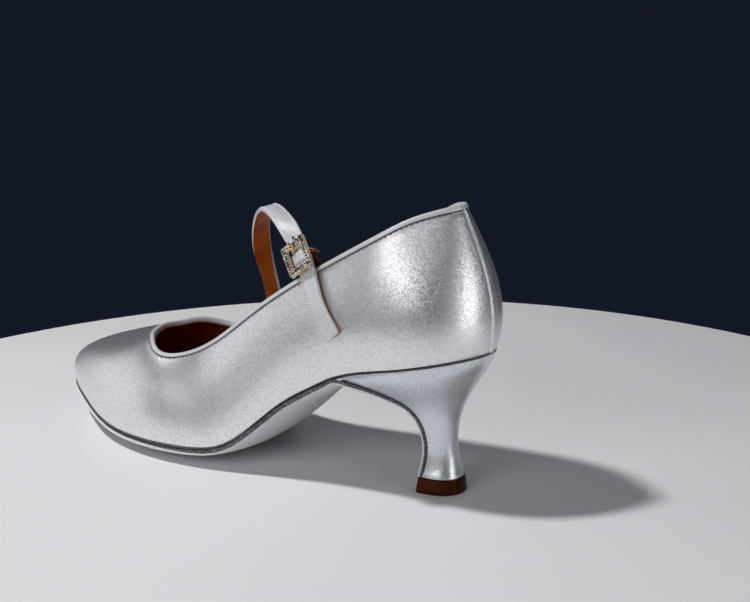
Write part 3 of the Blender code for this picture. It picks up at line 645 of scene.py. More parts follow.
def silver_leather(name, light, dark, roughness, metallic, tilt, grain):
    """Metallic leather: small flakes, each tilted its own way, over a soft satin grain."""
    look, shader, place = node_look(name, light, roughness, Metallic=metallic)
    flakes = cells(place, 2600.0, "Color")
    split = added(flakes, "SeparateColor", Color=flakes)
    leaning = added(flakes, "NormalMap", Color=flakes, Strength=tilt)
    leaning.space = "OBJECT"
    satin = bump(noise(place, 1900.0, 3.0, 0.65), grain, 0.00004, Normal=leaning.outputs["Normal"])
    wire(shader, Base_Color=ramp(split.outputs["Red"], 0.1, 0.9, dark, light),
         Roughness=level(split.outputs["Green"], 0.0, 1.0, roughness - 0.06, roughness + 0.08),
         Normal=bump(noise(place, 110.0), grain, 0.0004, Normal=satin))
    return look


def plain_leather(name, light, dark, roughness, coat, grain):
    """Smooth leather: cloudy colour and a fine pebbled grain."""
    look, shader, place = node_look(name, light, roughness, Coat_Weight=coat)
    pebbles = bump(cells(place, 1500.0, "Distance", "DISTANCE_TO_EDGE"), grain, 0.00008)
    wire(shader, Base_Color=ramp(noise(place, 90.0, 5.0, 0.6), 0.35, 0.7, dark, light),
         Roughness=level(noise(place, 300.0, 3.0), 0.3, 0.7, roughness - 0.06, roughness + 0.08),
         Normal=bump(noise(place, 500.0, 3.0), grain, 0.00006, Normal=pebbles))
    return look


def suede(name, light, dark, roughness):
    """Napped leather, or its rough cut edge."""
    look, shader, place = node_look(name, light, roughness, Sheen_Weight=0.5, Sheen_Roughness=0.5)
    wire(shader, Base_Color=ramp(noise(place, 420.0, 6.0, 0.75), 0.32, 0.68, dark, light),
         Normal=bump(noise(place, 2200.0, 3.0, 0.7), 0.5, 0.00012))
    return look


def stained(name, light, dark, roughness):
    """A raw leather edge, stained in patches, with a rough grain."""
    look, shader, place = node_look(name, light, roughness)
    patches = noise(place, 1300.0, 3.0, 0.75)
    wire(shader, Base_Color=ramp(patches, 0.40, 0.66, dark, light),
         Normal=bump(patches, 0.8, 0.0003))
    return look


def glossy(name, light, dark, roughness):
    """Polished hard plastic with faint flow marks."""
    look, shader, place = node_look(
        name, light, roughness, Specular_IOR_Level=0.22, Specular_Tint=(1.0, 0.45, 0.25, 1))
    wire(shader, Base_Color=ramp(noise(place, 160.0, 3.0), 0.35, 0.65, dark, light),
         Normal=bump(noise(place, 700.0, 4.0), 0.12, 0.00005))
    return look


def gold(name):
    """Pale polished gold plating."""
    look, shader, place = node_look(name, (0.86, 0.66, 0.38), 0.2, Metallic=1.0)
    tones = (0.74, 0.50, 0.24), (0.95, 0.78, 0.50)
    wire(shader, Base_Color=ramp(noise(place, 600.0, 3.0), 0.3, 0.7, *tones),
         Roughness=level(noise(place, 1500.0), 0.3, 0.7, 0.14, 0.3))
    return look


def crystal(name):
    """Clear cut glass over foil; the cells' near-black to near-white base colour is painted
    reflection, standing for the facets' glints.
    """
    look, shader, place = node_look(
        name, (0.92, 0.93, 0.96), 0.04, Metallic=0.75, Coat_Weight=1.0, Coat_Roughness=0.02)
    facet_glints = cells(place, 1100.0, "Color")
    split = added(facet_glints, "SeparateColor", Color=facet_glints)
    # painted reflection: each cell dark or bright, as the facets' glints would be
    tones = (0.10, 0.06, 0.05), (1.0, 0.97, 0.95)
    wire(shader, Base_Color=ramp(split.outputs["Red"], 0.2, 0.5, *tones))
    return look


# Silvers: light and dark flakes, roughness, metal, how far the flakes tilt, strength of the grain
SILVER = silver_leather(
    "silver_leather", (0.96, 0.965, 0.98), (0.75, 0.76, 0.79), 0.41, 0.94, 0.055, 0.25)
SMOOTH_SILVER = silver_leather(
    "smooth_silver", (0.80, 0.80, 0.83), (0.74, 0.74, 0.77), 0.5, 0.45, 0.02, 0.12)
HEEL_SILVER = silver_leather(
    "heel_silver", (0.80, 0.82, 0.86), (0.66, 0.68, 0.72), 0.37, 0.94, 0.07, 0.2)

# Leathers and threads: light and dark tone, roughness, coat, strength of the grain
LINING = plain_leather("tan_lining", (0.42, 0.085, 0.018), (0.22, 0.035, 0.008), 0.5, 0.1, 0.3)
SOCK = plain_leather("tan_sock", (0.36, 0.075, 0.016), (0.20, 0.032, 0.008), 0.45, 0.15, 0.25)
STRAP_BACK = plain_leather("strap_back", (0.60, 0.15, 0.006), (0.36, 0.075, 0.003), 0.5, 0.05, 0.2)
# painted shade: the tab is given a much darker brown than the strap's tan back, for the shade it
# lies in behind the buckle
SHADED_TAB_LEATHER = plain_leather(
    "tab_leather_painted_shade", (0.10, 0.030, 0.010), (0.05, 0.014, 0.005), 0.45, 0.1, 0.2)
THREAD_GREY = plain_leather("grey_thread", (0.42, 0.43, 0.46), (0.22, 0.22, 0.24), 0.6, 0.0, 0.2)
THREAD_WHITE = plain_leather("white_thread", (0.93, 0.93, 0.94), (0.82, 0.82, 0.84), 0.6, 0.0, 0.2)

# The rest: light and dark tone, roughness
SOLE_SUEDE = suede("sole_suede", (0.72, 0.72, 0.73), (0.52, 0.52, 0.54), 0.85)
# painted light: a paler copy of the sole suede for the lower part of the sole's edge, brightening
# it where it faces down into shade
LIGHTENED_SOLE_RIM = suede("sole_rim_painted_light", (0.90, 0.90, 0.91), (0.70, 0.70, 0.72), 0.8)
SOLE_EDGE = stained("sole_edge", (0.30, 0.30, 0.32), (0.010, 0.010, 0.012), 0.75)
# painted shade: near black, for the gaps, grooves and holes that lie in shade
PAINTED_SHADE_BLACK = suede("groove", (0.05, 0.05, 0.055), (0.02, 0.02, 0.022), 0.7)
TIP_RED = glossy("tip_red", (0.050, 0.008, 0.001), (0.022, 0.003, 0.001), 0.09)
DARK_GOLD = suede("dark_gold", (0.10, 0.06, 0.03), (0.03, 0.018, 0.010), 0.5)
GOLD = gold("pale_gold")
CRYSTAL = crystal("cut_crystal")


def upper_turns():
    """Stations round the shoe, closer together at the back seam."""
    even = np.arange(UPPER_STATIONS) / UPPER_STATIONS
    near = np.linspace(-2.2, 2.2, 23) * SEAM_WIDTH / PERIOD
    even = even[(even > near[-1] * 1.2) & (even < 1 + near[0] * 1.2)]
    return np.sort(np.concatenate([even, near % 1.0]))


TURNS = upper_turns()
AWAY = np.minimum(TURNS, 1 - TURNS) * PERIOD  # distance round from the back seam

# Soft troughs and ridges of the leather: place round the shoe, share of the height at the
# middle, half length round the shoe and half width up the rib, slant and depth in metres
CREASES = (
    (0.085, 0.55, 0.016, 0.010, 0.2, 0.00035),
    (0.205, 0.52, 0.020, 0.007, -0.3, 0.00030),
    (0.255, 0.30, 0.016, 0.006, -0.5, 0.00025),
    (0.310, 0.55, 0.013, 0.006, 0.6, 0.00020),
    (0.700, 0.52, 0.016, 0.007, -0.6, 0.00025),
    (0.770, 0.45, 0.020, 0.008, 0.4, 0.00030),
    (0.905, 0.50, 0.016, 0.010, -0.2, 0.00035),
)


def crease_depth(turn, share, length):
    """How deep the leather lies at places round and up the upper."""
    depth = 0 * share
    for at, height, half_length, half_width, slant, deep in CREASES:
        across_shoe = (turn - at) * PERIOD
        up = (share - height) * length
        u = across_shoe + slant * up
        v = up - slant * across_shoe
        depth = depth + deep * bell(u, half_length) * bell(v, half_width)
    return depth


LEATHER = 0.0011  # thickness of the outer leather
CURL = 0.0009  # radius by which the upper's foot turns in over the sole
CURL_SPREAD = 1.4
TUCK = BINDING_DEPTH - 0.0006  # how far below the topline the leather ends, under the binding
STITCH_DOWN = BINDING_DEPTH + 0.0006  # the stitches, below the topline
SEWN_IN = 0.00022  # depth of the troughs that sewing pulls in
SEWN_WIDTH = 0.00045


def build_upper():
    """The outer leather: it goes under the binding and curls in at the sole."""
    shares = np.concatenate([np.linspace(0, 0.05, 7)[:-1], np.linspace(0.05, 1, UPPER_ROWS)])
    point, normal = upper_grid(TURNS, [lambda length, s=s: s * (length - TUCK) for s in shares])
    run = np.linalg.norm(np.diff(point, axis=0), axis=2)
    up = np.vstack([0 * TURNS, np.cumsum(run, axis=0)])
    length = up[-1]
    depth = crease_depth(TURNS, up / length, length)
    groove = SEWN_IN * bell(length - up + TUCK - STITCH_DOWN, SEWN_WIDTH)
    ridge = SEAM_PROUD * (1 - smooth(AWAY, SEAM_WIDTH * 0.36, SEAM_WIDTH * 0.62))
    beside = SEWN_IN * bell(AWAY - SEAM_WIDTH * 0.95, SEAM_WIDTH * 0.28)
    curl = CURL * round_over(1 - up / (CURL_SPREAD * CURL))
    offset = -depth - groove + ridge - beside - curl
    outer = point + normal * offset[..., None]
    inner = (point - normal * LEATHER)[::6]
    rings = np.concatenate([outer, inner[::-1]]).transpose(1, 0, 2)
    stands_for(loft("upper_leather", rings, [SILVER], closed=True), "upper")


def build_lining():
    """The tan lining inside the upper, from the binding down to the insole."""
    heights = [lambda length, s=s: s * (length - BINDING_DEPTH / 2) for s in np.linspace(0, 1, 30)]
    point, normal = upper_grid(TURNS[::2], heights)
    normal[0] = unit(normal[0] * (1, 1, 0))
    near, far = point - normal * (LEATHER + 0.00005), point - normal * UPPER_WALL
    rings = np.concatenate([near[::4], far[::-1]]).transpose(1, 0, 2)
    stands_for(loft("upper_lining", rings, [LINING], closed=True), "upper")


SHADE_RING_IN = 0.0008  # how far the near-black ring of painted shade under the upper stands back from the feather line
SHADE_RING_BOTTOM, SHADE_RING_TOP = 0.00002, 0.0013  # above the feather line


def build_feather_gap_shade():
    """A near-black ring of painted shade in the gap where the upper turns in over the sole and the
    heel.
    """
    near, far = feather_outline(SHADE_RING_IN), feather_outline(UPPER_WALL)
    corners = (near, SHADE_RING_BOTTOM), (near, SHADE_RING_TOP), (far, SHADE_RING_TOP), (far, SHADE_RING_BOTTOM)
    rings = [np.column_stack([line, feather_height(line[:, 0]) + rise]) for line, rise in corners]
    rings = np.array(rings).transpose(1, 0, 2)[::3]
    rides(loft("feather_gap_shade", rings, [PAINTED_SHADE_BLACK], closed=True))


# Places along the shoe, and how far the sole's dark edge shows above the feather line there
EDGE_RISE = ((0.05, 0.07, 0.10, 0.125, 0.155, 0.18), (0.0, 0.0002, 0.0010, 0.0013, 0.0009, 0.0))
EDGE_LEAST = 0.0002  # lowest edge that shows
EDGE_OUT, EDGE_IN = 0.00022, 0.0002  # its faces, outside and inside the upper's face
EDGE_STATIONS = 700


def build_edge_band():
    """The sole's dark rough edge where it stands up against the foot of the upper."""
    turn = np.linspace(0, 1, EDGE_STATIONS, endpoint=False)
    steps = (0.0, 0.0008, 0.0016, 0.0024)
    point, normal = upper_grid(turn, [lambda length, s=s: np.full_like(length, s) for s in steps])
    parts, run = [], []
    for k in range(EDGE_STATIONS + 1):
        rise = np.interp(point[0, k, 0], *EDGE_RISE) if k < EDGE_STATIONS else 0
        if rise >= EDGE_LEAST:
            down = np.array([0.0, 0.35, 0.7, 1.0]) * rise
            places = np.array([np.interp(down, steps, point[:, k, axis]) for axis in range(3)]).T
            lean = normal[1, k]
            run.append(np.vstack([places + lean * EDGE_OUT, places[::-1] - lean * EDGE_IN]))
        elif len(run) > 3:
            parts.append(np.array(run))
            run = []
    rides(joined("sole_edge_band", parts, [SOLE_EDGE]))


# The binding's outline across the edge: down from the topline as a share of its depth, and out
# from the upper's face in millimetres
BINDING_OUTLINE = (
    (1.02, -0.10), (0.98, 0.22), (0.92, 0.36), (0.78, 0.44), (0.55, 0.46), (0.32, 0.42),
    (0.16, 0.28), (0.06, 0.02), (0.01, -0.40), (0.00, -0.90), (0.00, -1.30), (0.04, -1.75),
    (0.12, -2.00), (0.28, -2.16), (0.55, -2.22), (0.80, -2.20), (0.94, -2.14), (1.00, -1.95),
    (1.00, -1.2),
)
PUCKER, PUCKER_STEP = 0.00004, 0.0022  # height and length of the small waves between stitches


def build_binding():
    """The folded and rolled edge round the topline."""
    heights = [lambda length, d=d: length - d * BINDING_DEPTH for d, _ in BINDING_OUTLINE]
    point, normal = upper_grid(TURNS, heights)
    pucker = PUCKER * np.sin(TURNS * PERIOD / PUCKER_STEP * 2 * math.pi)
    reach = np.array([out / 1000 + pucker * (out > 0) for _, out in BINDING_OUTLINE])
    rings = (point + normal * reach[..., None]).transpose(1, 0, 2)
    stands_for(loft("topline_binding", rings, [SMOOTH_SILVER], closed=True), "topline_binding")


def build_topline_stitches():
    """The row of stitches just below the binding, outside, and a near-black tube between them,
    painted shade in the groove under the binding.
    """
    turn = np.linspace(SEAM_WIDTH / PERIOD, 1 - SEAM_WIDTH / PERIOD, 900)
    levels = [lambda length: length - STITCH_DOWN, lambda length: length - BINDING_DEPTH - 0.0001]
    point, normal = upper_grid(turn, levels)
    path = point[0] - normal[0] * 0.00008
    row = stitch_row(path, normal[0], 0.0021, 0.0015)
    rides(joined("topline_stitches", row, [THREAD_GREY]))
    # painted shade: a near-black tube along the groove under the binding
    groove = tube(point[1], 8, np.full(len(turn), 0.00026), normal[1, 0])
    rides(joined("topline_groove_shade", [groove], [PAINTED_SHADE_BLACK]))


SOCK_ROUND, SOCK_DROP = 0.0012, 0.0006  # rolled edge of the sock: how wide, and how deep


def build_insole():
    """The sock on the insole, with a rolled edge."""
    outline = feather_outline(UPPER_WALL + 2 * GAP)
    back, toe = outline[:, 0].min() + GAP, outline[:, 0].max() - GAP
    share = np.sin(np.linspace(-1, 1, 33) * math.pi / 2)
    rings = []
    for x in rounded_steps(back, toe, 140, True):
        outer, inner = halves_at(outline, x)
        half = (outer - inner) / 2
        y = (outer + inner) / 2 + half * share
        bottom = feather_height(x) + 2 * GAP - sag("dish", x) * (1 - share ** 2)
        edge = round_over(1 - (1 - np.abs(share)) * half / SOCK_ROUND)
        top = bottom + INSOLE_THICKNESS - SOCK_DROP * edge
        above, below = (np.column_stack([x + 0 * y, y, z]) for z in (top, bottom))
        rings.append(np.vstack([above, below[::-1]]))
    stands_for(loft("insole_sock", rings, [SOCK]), "insole")


# Places along the shoe, and the share of the sole's edge that is dark and rough there
EDGE_BAND = ((0.02, 0.05, 0.08, 0.10, 0.125, 0.195), (0.42, 0.72, 0.72, 0.5, 0.22, 0.18))
EDGE_SHARES = np.array([0.5, 0.98, 1.02])  # rows of the edge, down to the end of the dark band
TOE_END = 0.0000005  # flat end of the round toe of the sole, behind its foremost point
BEVEL = 0.0005  # width and depth of the bevel under the sole's edge


def build_outsole():
    """The sole with its rough dark edge, a paler suede band below it that is painted light, its
    suede underside and the flap down the heel.
    """
    outline = feather_outline(-OUTSOLE_MARGIN)
    toe = outline[:, 0].max() - TOE_END
    knots, points, lead = flap_path()
    forepart = rounded_steps(points[0, 0], toe, SOLE_ROWS, False)[::-1][:-1]
    heel_run = np.linspace(knots[lead], knots[-1], HEEL_STEPS)
    run = np.concatenate([np.linspace(knots[0], knots[lead], LEAD_ROWS)[:-1], heel_run])
    level_part = np.column_stack([forepart, feather_height(forepart)])
    path = np.vstack([level_part, spline(knots, points, run)])
    run = np.concatenate([np.full(len(forepart), knots[0]), run])
    travel = unit(np.gradient(path, axis=0))
    _, _, heel_outer, heel_inner, _, _ = heel_rows(HEEL_STEPS)
    share = np.sin(np.linspace(-1, 1, SOLE_ACROSS + 1) * math.pi / 2)
    bulge = 1 - share ** 2
    rings = []
    for (x, z), (ahead, rise), at in zip(path, travel, run):
        if at < knots[lead]:
            outer, inner = halves_at(outline, x)
            dish, crown = sag("dish", x), sag("crown", x)
        else:
            outer = np.interp(at, heel_run, heel_outer) + OUTSOLE_MARGIN
            inner = np.interp(at, heel_run, heel_inner) - OUTSOLE_MARGIN
            fade = (knots[-1] - at) / (knots[-1] - knots[lead])
            dish, crown = 0, sag("crown", BREAST_AHEAD) * fade ** CROWN_FADE
        half = (outer - inner) / 2
        y = (outer + inner) / 2 + half * share
        under = np.array([-rise, 0, ahead])
        line = np.column_stack([x + 0 * y, y, z + 0 * y])
        above = line + under * (dish * bulge)[:, None]
        bevel = BEVEL * bell((1 - np.abs(share)) * half, BEVEL)
        below = line + under * (OUTSOLE_THICKNESS + crown * bulge - bevel)[:, None]
        below[:, 2] = np.maximum(below[:, 2], 0)
        edge = under * (OUTSOLE_THICKNESS * EDGE_SHARES * np.interp(x, *EDGE_BAND))[:, None]
        rings.append(np.vstack([above, line[-1] + edge, below[::-1], (line[0] + edge)[::-1]]))
    top = SOLE_ACROSS + 1
    # the lower edge faces take the paler suede, painted light
    looks = [1] * (top + 2) + [2] + [0] * (top - 1) + [2] + [1] * 3
    outsole = loft("outsole", rings, [SOLE_SUEDE, SOLE_EDGE, LIGHTENED_SOLE_RIM], ring_looks=looks)
    stands_for(outsole, "outsole")


LIP = 0.00025  # how far the cover stands out just above the tip
SEAT_DROP = (0.0004, 0.0008)  # how far its top edge lies below the upper, and how much more ahead
SEAT_ROLL = ((0.0011, -0.0001), (0.0005, -0.00015))  # inward and up, where it turns in


def build_heel():
    """The covered heel: its top edge rolls in under the upper, its foot ends in a fine lip."""
    front, back, outer, inner, rounding, ahead = heel_rows(HEEL_STEPS)
    front = front - ahead * GAP
    seat = seat_outline(HEEL_STATIONS)
    seat_depth = (BREAST_AHEAD - seat[:, 0]) / (BREAST_AHEAD - seat[:, 0].min())
    seat_width = seat[:, 1] / np.abs(seat[:, 1]).max()
    depth, width = half_round(HEEL_STATIONS)
    rings = [np.column_stack([seat, feather_height(seat[:, 0])])]
    for i in range(1, HEEL_STEPS):
        d = seat_depth + (depth - seat_depth) * rounding[i]
        w = seat_width + (width - seat_width) * rounding[i]
        x, z = (front[i, k] + (back[i, k] - front[i, k]) * d for k in (0, 1))
        rings.append(np.column_stack([x, w * np.where(w > 0, outer[i], -inner[i]), z]))
    rings = np.array(rings)
    lip = LIP * bell(np.arange(HEEL_STEPS) - (HEEL_STEPS - 2), 1.3)
    out = unit((rings - rings.mean(axis=1, keepdims=True)) * (1, 1, 0))
    rings = rings + out * lip[:, None, None]
    first = rings[0]
    pulled = unit((first - first.mean(axis=0)) * (1, 1, 0))
    rolled = [first - pulled * inward + (0, 0, up) for inward, up in SEAT_ROLL]
    drop = SEAT_DROP[0] + SEAT_DROP[1] * smooth(first[:, 0], -0.010, 0.024)
    rings[0] = first - pulled * 0.00012
    rings[0, :, 2] -= drop
    stands_for(loft("heel_cover", np.concatenate([rolled, rings]), [HEEL_SILVER]), "heel")


# The tip's rows: share of its height, and share of its flare
TIP_ROWS = (
    (1.0, -0.35), (0.985, -0.05), (0.94, 0.06), (0.75, 0.25), (0.5, 0.5), (0.25, 0.75),
    (0.06, 0.95), (0.015, 0.85), (0.0, 0.5),
)


def build_tip():
    """The hard tip, wider at the floor, with softened edges."""
    ahead_of_tip = heel_rows(2)[0][-1, 0] + OUTSOLE_THICKNESS
    depth, width = half_round(HEEL_STATIONS)
    sides = depth > (TIP_CORNER + GAP) / TIP_DEPTH
    turn = np.linspace(0, math.pi / 2, 8)
    rings = []
    for share, widen in TIP_ROWS:
        grow = TIP_FLARE * widen
        ahead, behind = ahead_of_tip + grow, ahead_of_tip - TIP_DEPTH - grow
        half = TIP_WIDTH / 2 + grow
        outline = np.column_stack([ahead + (behind - ahead) * depth, half * width])
        corner = np.column_stack([ahead - TIP_CORNER * (1 - np.cos(turn)),
                                  half - TIP_CORNER * (1 - np.sin(turn))])
        outline = np.vstack([corner, outline[sides], corner[::-1] * (1, -1)])
        rings.append(np.column_stack([outline, np.full(len(outline), share * TIP_HEIGHT)]))
    stands_for(loft("heel_tip", rings, [TIP_RED]), "heel_tip")


def punched(piece, cutters):
    """The piece with the cutters' shapes taken out."""
    for cutter in cutters:
        change = piece.modifiers.new("punch", "BOOLEAN")
        change.operation = "DIFFERENCE"
        change.object = cutter
        result = piece.evaluated_get(bpy.context.evaluated_depsgraph_get())
        piece.data = bpy.data.meshes.new_from_object(result)
        piece.modifiers.clear()
        bpy.data.objects.remove(cutter)
    return piece


PAD_HEIGHT = 0.0022  # how far the strap swells up in the buckle's window
PAD_RISE = 0.0012  # over what length, at the low end and beyond the buckle's middle
PAD_PINCH = 0.06
END_ROUND = 0.0012  # over what length the free end narrows
END_WIDTH = 0.88

# The strap's outline across it: shares of half its width and of half its thickness
STRAP_OUTLINE = (
    (-0.90, -1.00), (-0.5, -1.0), (0.0, -1.0), (0.5, -1.0), (0.90, -1.00), (0.97, -0.85),
    (1.00, -0.40), (1.00, 0.35), (0.97, 0.75), (0.90, 0.93), (0.80, 0.98), (0.70, 0.86),
    (0.58, 1.02), (0.30, 1.14), (0.0, 1.18), (-0.30, 1.14), (-0.58, 1.02), (-0.70, 0.86),
    (-0.80, 0.98), (-0.90, 0.93), (-0.97, 0.75), (-1.00, 0.35), (-1.00, -0.40), (-0.97, -0.85),
)
BACK_FACES = 5  # the first faces of the outline, which are tan


def build_strap():
    """The instep strap: silver outside, tan inside, puffed in the buckle, with punched holes."""
    at = np.linspace(0, STRAP_RUN[-1], STRAP_STATIONS)
    middle, side, _, normal = strap_frames(at)
    a, b = np.array(STRAP_OUTLINE).T
    low_edge = BUCKLE_AT - BUCKLE_SIZE / 2 + BUCKLE_BAND
    high_edge = BUCKLE_AT + PAD_RISE
    puff = smooth(at, low_edge, low_edge + PAD_RISE)
    puff = puff * (1 - smooth(at, high_edge, high_edge + 0.0014))
    narrow = 1 - (1 - END_WIDTH) * round_over(1 - at / END_ROUND)
    across = STRAP_WIDTH / 2 * a * (narrow * (1 - PAD_PINCH * puff))[:, None]
    up = b * STRAP_THICKNESS / 2 + PAD_HEIGHT * puff[:, None] * (b > 0) * (1 - 0.35 * a ** 2)
    rings = middle[:, None] + side[:, None] * across[..., None] + normal[:, None] * up[..., None]
    looks = [1] * BACK_FACES + [0] * (len(a) - BACK_FACES)
    strap = loft("instep_strap", rings, [SMOOTH_SILVER, STRAP_BACK, PAINTED_SHADE_BLACK], ring_looks=looks)
    pins = []  # the walls of the holes take the cutters' near-black look, painted shade in the holes
    for step in range(-HOLES_BELOW, HOLES_ABOVE + 1):
        place = BUCKLE_AT + HOLE_AHEAD + STRAP_HOLE_STEP * step
        (point,), (across_strap,), _, (out,) = strap_frames(place)
        path = np.array([point - out * STRAP_THICKNESS * 2, point + out * STRAP_THICKNESS * 2])
        bore = STRAP_HOLE * (0.5 if step else 0.7)
        pins.append(joined("hole_cutter", [tube(path, 20, [bore / 2] * 2, across_strap)], [PAINTED_SHADE_BLACK]))
    stands_for(punched(strap, pins), "strap")


STITCH_STEP = 0.00135
STITCH_LENGTH = 0.00085
STITCH_INSET = STRAP_WIDTH / 2 * 0.76
FIRST_STITCH = 0.0022  # from the strap's free end
NEEDLE = 0.00021  # radius of the dark dot of painted shade at a needle hole


def build_strap_stitches():
    """Rows of stitches along both edges of the strap and across its free end."""
    sewn = STRAP_RUN[-1] - SEWN_LENGTH
    middle, side, _, normal = strap_frames(np.linspace(FIRST_STITCH, sewn, 700))
    place = np.arange(FIRST_STITCH + 0.0011, sewn, STITCH_STEP)
    spots = strap_frames(place[np.abs(place - BUCKLE_AT) > BUCKLE_SIZE / 2])
    parts, holes = [], []
    for hand in (-1, 1):
        path = middle + side * hand * STITCH_INSET + normal * STRAP_THICKNESS * 0.48
        parts += stitch_row(path, normal, STITCH_STEP, STITCH_LENGTH)
        # dark dots at the needle holes: painted shade
        for m, s, a, n in zip(*spots):
            c = m + s * hand * STITCH_INSET + n * STRAP_THICKNESS * 0.47
            path = np.array([c - n * NEEDLE * 0.6, c, c + n * NEEDLE * 0.25])
            holes.append(tube(path, 8, np.array([1, 1, 0.5]) * NEEDLE, a))
    (point,), (across_strap,), _, (out,) = strap_frames(FIRST_STITCH - 0.0002)
    line = np.linspace(-STITCH_INSET, STITCH_INSET, 40)[:, None]
    path = point + across_strap * line + out * STRAP_THICKNESS * 0.48
    parts += stitch_row(path, np.tile(out, (40, 1)), STITCH_STEP, STITCH_LENGTH)
    rides(joined("strap_stitches", parts, [THREAD_WHITE]))
    rides(joined("strap_needle_hole_shade", holes, [PAINTED_SHADE_BLACK]))


# How far the buckle's bar lies below the strap's middle
BAR_DEPTH = STRAP_THICKNESS / 2 + 2 * GAP + TAB_THICKNESS + BAR_DIAMETER / 2 + BUCKLE_LIFT / 4

# The tray's outline across one side: shares inward from its outer edge, and up its depth
TRAY_OUTLINE = (
    (0.0, 0.1), (0.0, 0.62), (0.04, 0.7), (0.08, 0.7), (0.1, 0.6), (0.12, 0.5), (0.88, 0.5),
    (0.9, 0.6), (0.92, 0.7), (0.96, 0.7), (1.0, 0.62), (1.0, 0.1), (0.92, 0.0), (0.08, 0.0),
)
TRAY_BED = 5  # the face of the outline under the stones
LEG_RADII = np.array([0.8, 0.75, 0.8, 0.5]) / 1000


def build_buckle():
    """The square buckle: a gold tray with raised rims, two legs and the bar under the strap."""
    middle, side, along, out = BUCKLE_AXES
    rings = []
    for corner, (cx, cy) in enumerate(((1, 1), (-1, 1), (-1, -1), (1, -1))):
        for angle in corner * math.pi / 2 + np.linspace(0, math.pi / 2, 9):
            ring = []
            for inward, up in TRAY_OUTLINE:
                bend = 0.0008 * (1 - inward) + 0.0003
                reach = BUCKLE_SIZE / 2 - inward * BUCKLE_BAND - bend
                across = side * (cx * reach + bend * math.cos(angle))
                ahead = along * (cy * reach + bend * math.sin(angle))
                ring.append(middle + across + ahead + out * (BUCKLE_LOW + up * BUCKLE_DEPTH))
            rings.append(ring)
    looks = [int(k == TRAY_BED) for k in range(len(TRAY_OUTLINE))]
    tray = loft("buckle_tray", rings, [GOLD, DARK_GOLD], closed=True, ring_looks=looks)
    reach = side * (BUCKLE_SIZE - BUCKLE_BAND) / 2
    top = BUCKLE_LOW + BUCKLE_DEPTH * 0.2
    depth = BAR_DEPTH + top
    leg = np.outer(top - np.array([0, depth / 2, depth - BAR_DIAMETER / 2, depth]), out)
    parts = [tube(middle + hand * reach + leg, 16, LEG_RADII, along) for hand in (-1, 1)]
    line = middle - out * BAR_DEPTH
    parts.append(tube(np.array([line - reach, line + reach]), 16, [BAR_DIAMETER / 2] * 2, along))
    stands_for(tray, "buckle_frame")
    stands_for(joined("buckle_legs", parts, [GOLD]), "buckle_frame")


STONES_A_SIDE = 10
STONE = 0.00055  # radius of a stone
STONE_ROWS = (0.26, 0.72)  # inward over the band
STONE_CUT = ((0.35, -0.45), (1.0, 0.0), (1.0, 0.15), (0.74, 0.5), (0.4, 0.68))  # radius, up


def build_stones():
    """Two staggered rows of small cut stones all round the buckle."""
    middle, side, along, out = BUCKLE_AXES
    seat = middle + out * (BUCKLE_LOW + BUCKLE_DEPTH * 0.66)
    turn = np.arange(8) * math.pi / 4 + math.pi / 8
    stones = []
    for row, inward in enumerate(STONE_ROWS):
        reach = BUCKLE_SIZE / 2 - BUCKLE_BAND * inward
        count = STONES_A_SIDE - 3 * row
        for c, s in ((1, 0), (0, 1), (-1, 0), (0, -1)):
            for u in -reach + np.arange(count) * (2 * reach / count):
                centre = seat + side * (u * c - reach * s) + along * (u * s + reach * c)
                rings = []
                for radius, up in STONE_CUT:
                    spin = (turn + (math.pi / 8 if radius < 0.9 else 0))[:, None]
                    spoke = np.cos(spin) * side + np.sin(spin) * along
                    rings.append(centre + STONE * radius * spoke + out * up * STONE)
                stones.append(np.array(rings))
    rides(joined("buckle_stones", stones, [CRYSTAL]))


PRONG_STATIONS = 70


def build_prong():
    """The prong: hooked on the bar, up through the strap, resting on the frame."""
    middle, side, along, out = BUCKLE_AXES
    radius = PRONG_DIAMETER / 2
    hook = BAR_DIAMETER / 2 + GAP + radius
    rest = BUCKLE_LOW + GAP + BUCKLE_DEPTH + radius
    end = -BUCKLE_SIZE / 2
    turn = np.linspace(0, -math.pi, 9)
    path = [(hook * math.cos(a), hook * math.sin(a) - BAR_DEPTH) for a in turn]
    path += [(-HOLE_AHEAD, -STRAP_THICKNESS / 2), (-HOLE_AHEAD - radius, STRAP_THICKNESS),
             (end + BUCKLE_BAND, rest), (end, rest)]
    knots = run_along(path)
    share = np.linspace(0, 1, PRONG_STATIONS)
    path = spline(knots, path, share * knots[-1])
    points = middle + np.outer(path[:, 0], along) + np.outer(path[:, 1], out)
    radii = radius * (1 - 0.25 * share ** 4) * np.sqrt(np.clip(1 - (2 * share - 1) ** 40, 0.05, 1))
    stands_for(joined("buckle_prong", [tube(points, 18, radii, side)], [GOLD]), "buckle_prong")


# The tab's outline across it: shares of half its width and of half its thickness
TAB_OUTLINE = (
    (-0.94, -1), (0.94, -1), (1, -0.7), (1, -0.1), (0.95, 0), (1, 0.1), (1, 0.7),
    (0.94, 1), (-0.94, 1), (-1, 0.7), (-1, 0.1), (-0.95, 0), (-1, -0.1), (-1, -0.7),
)


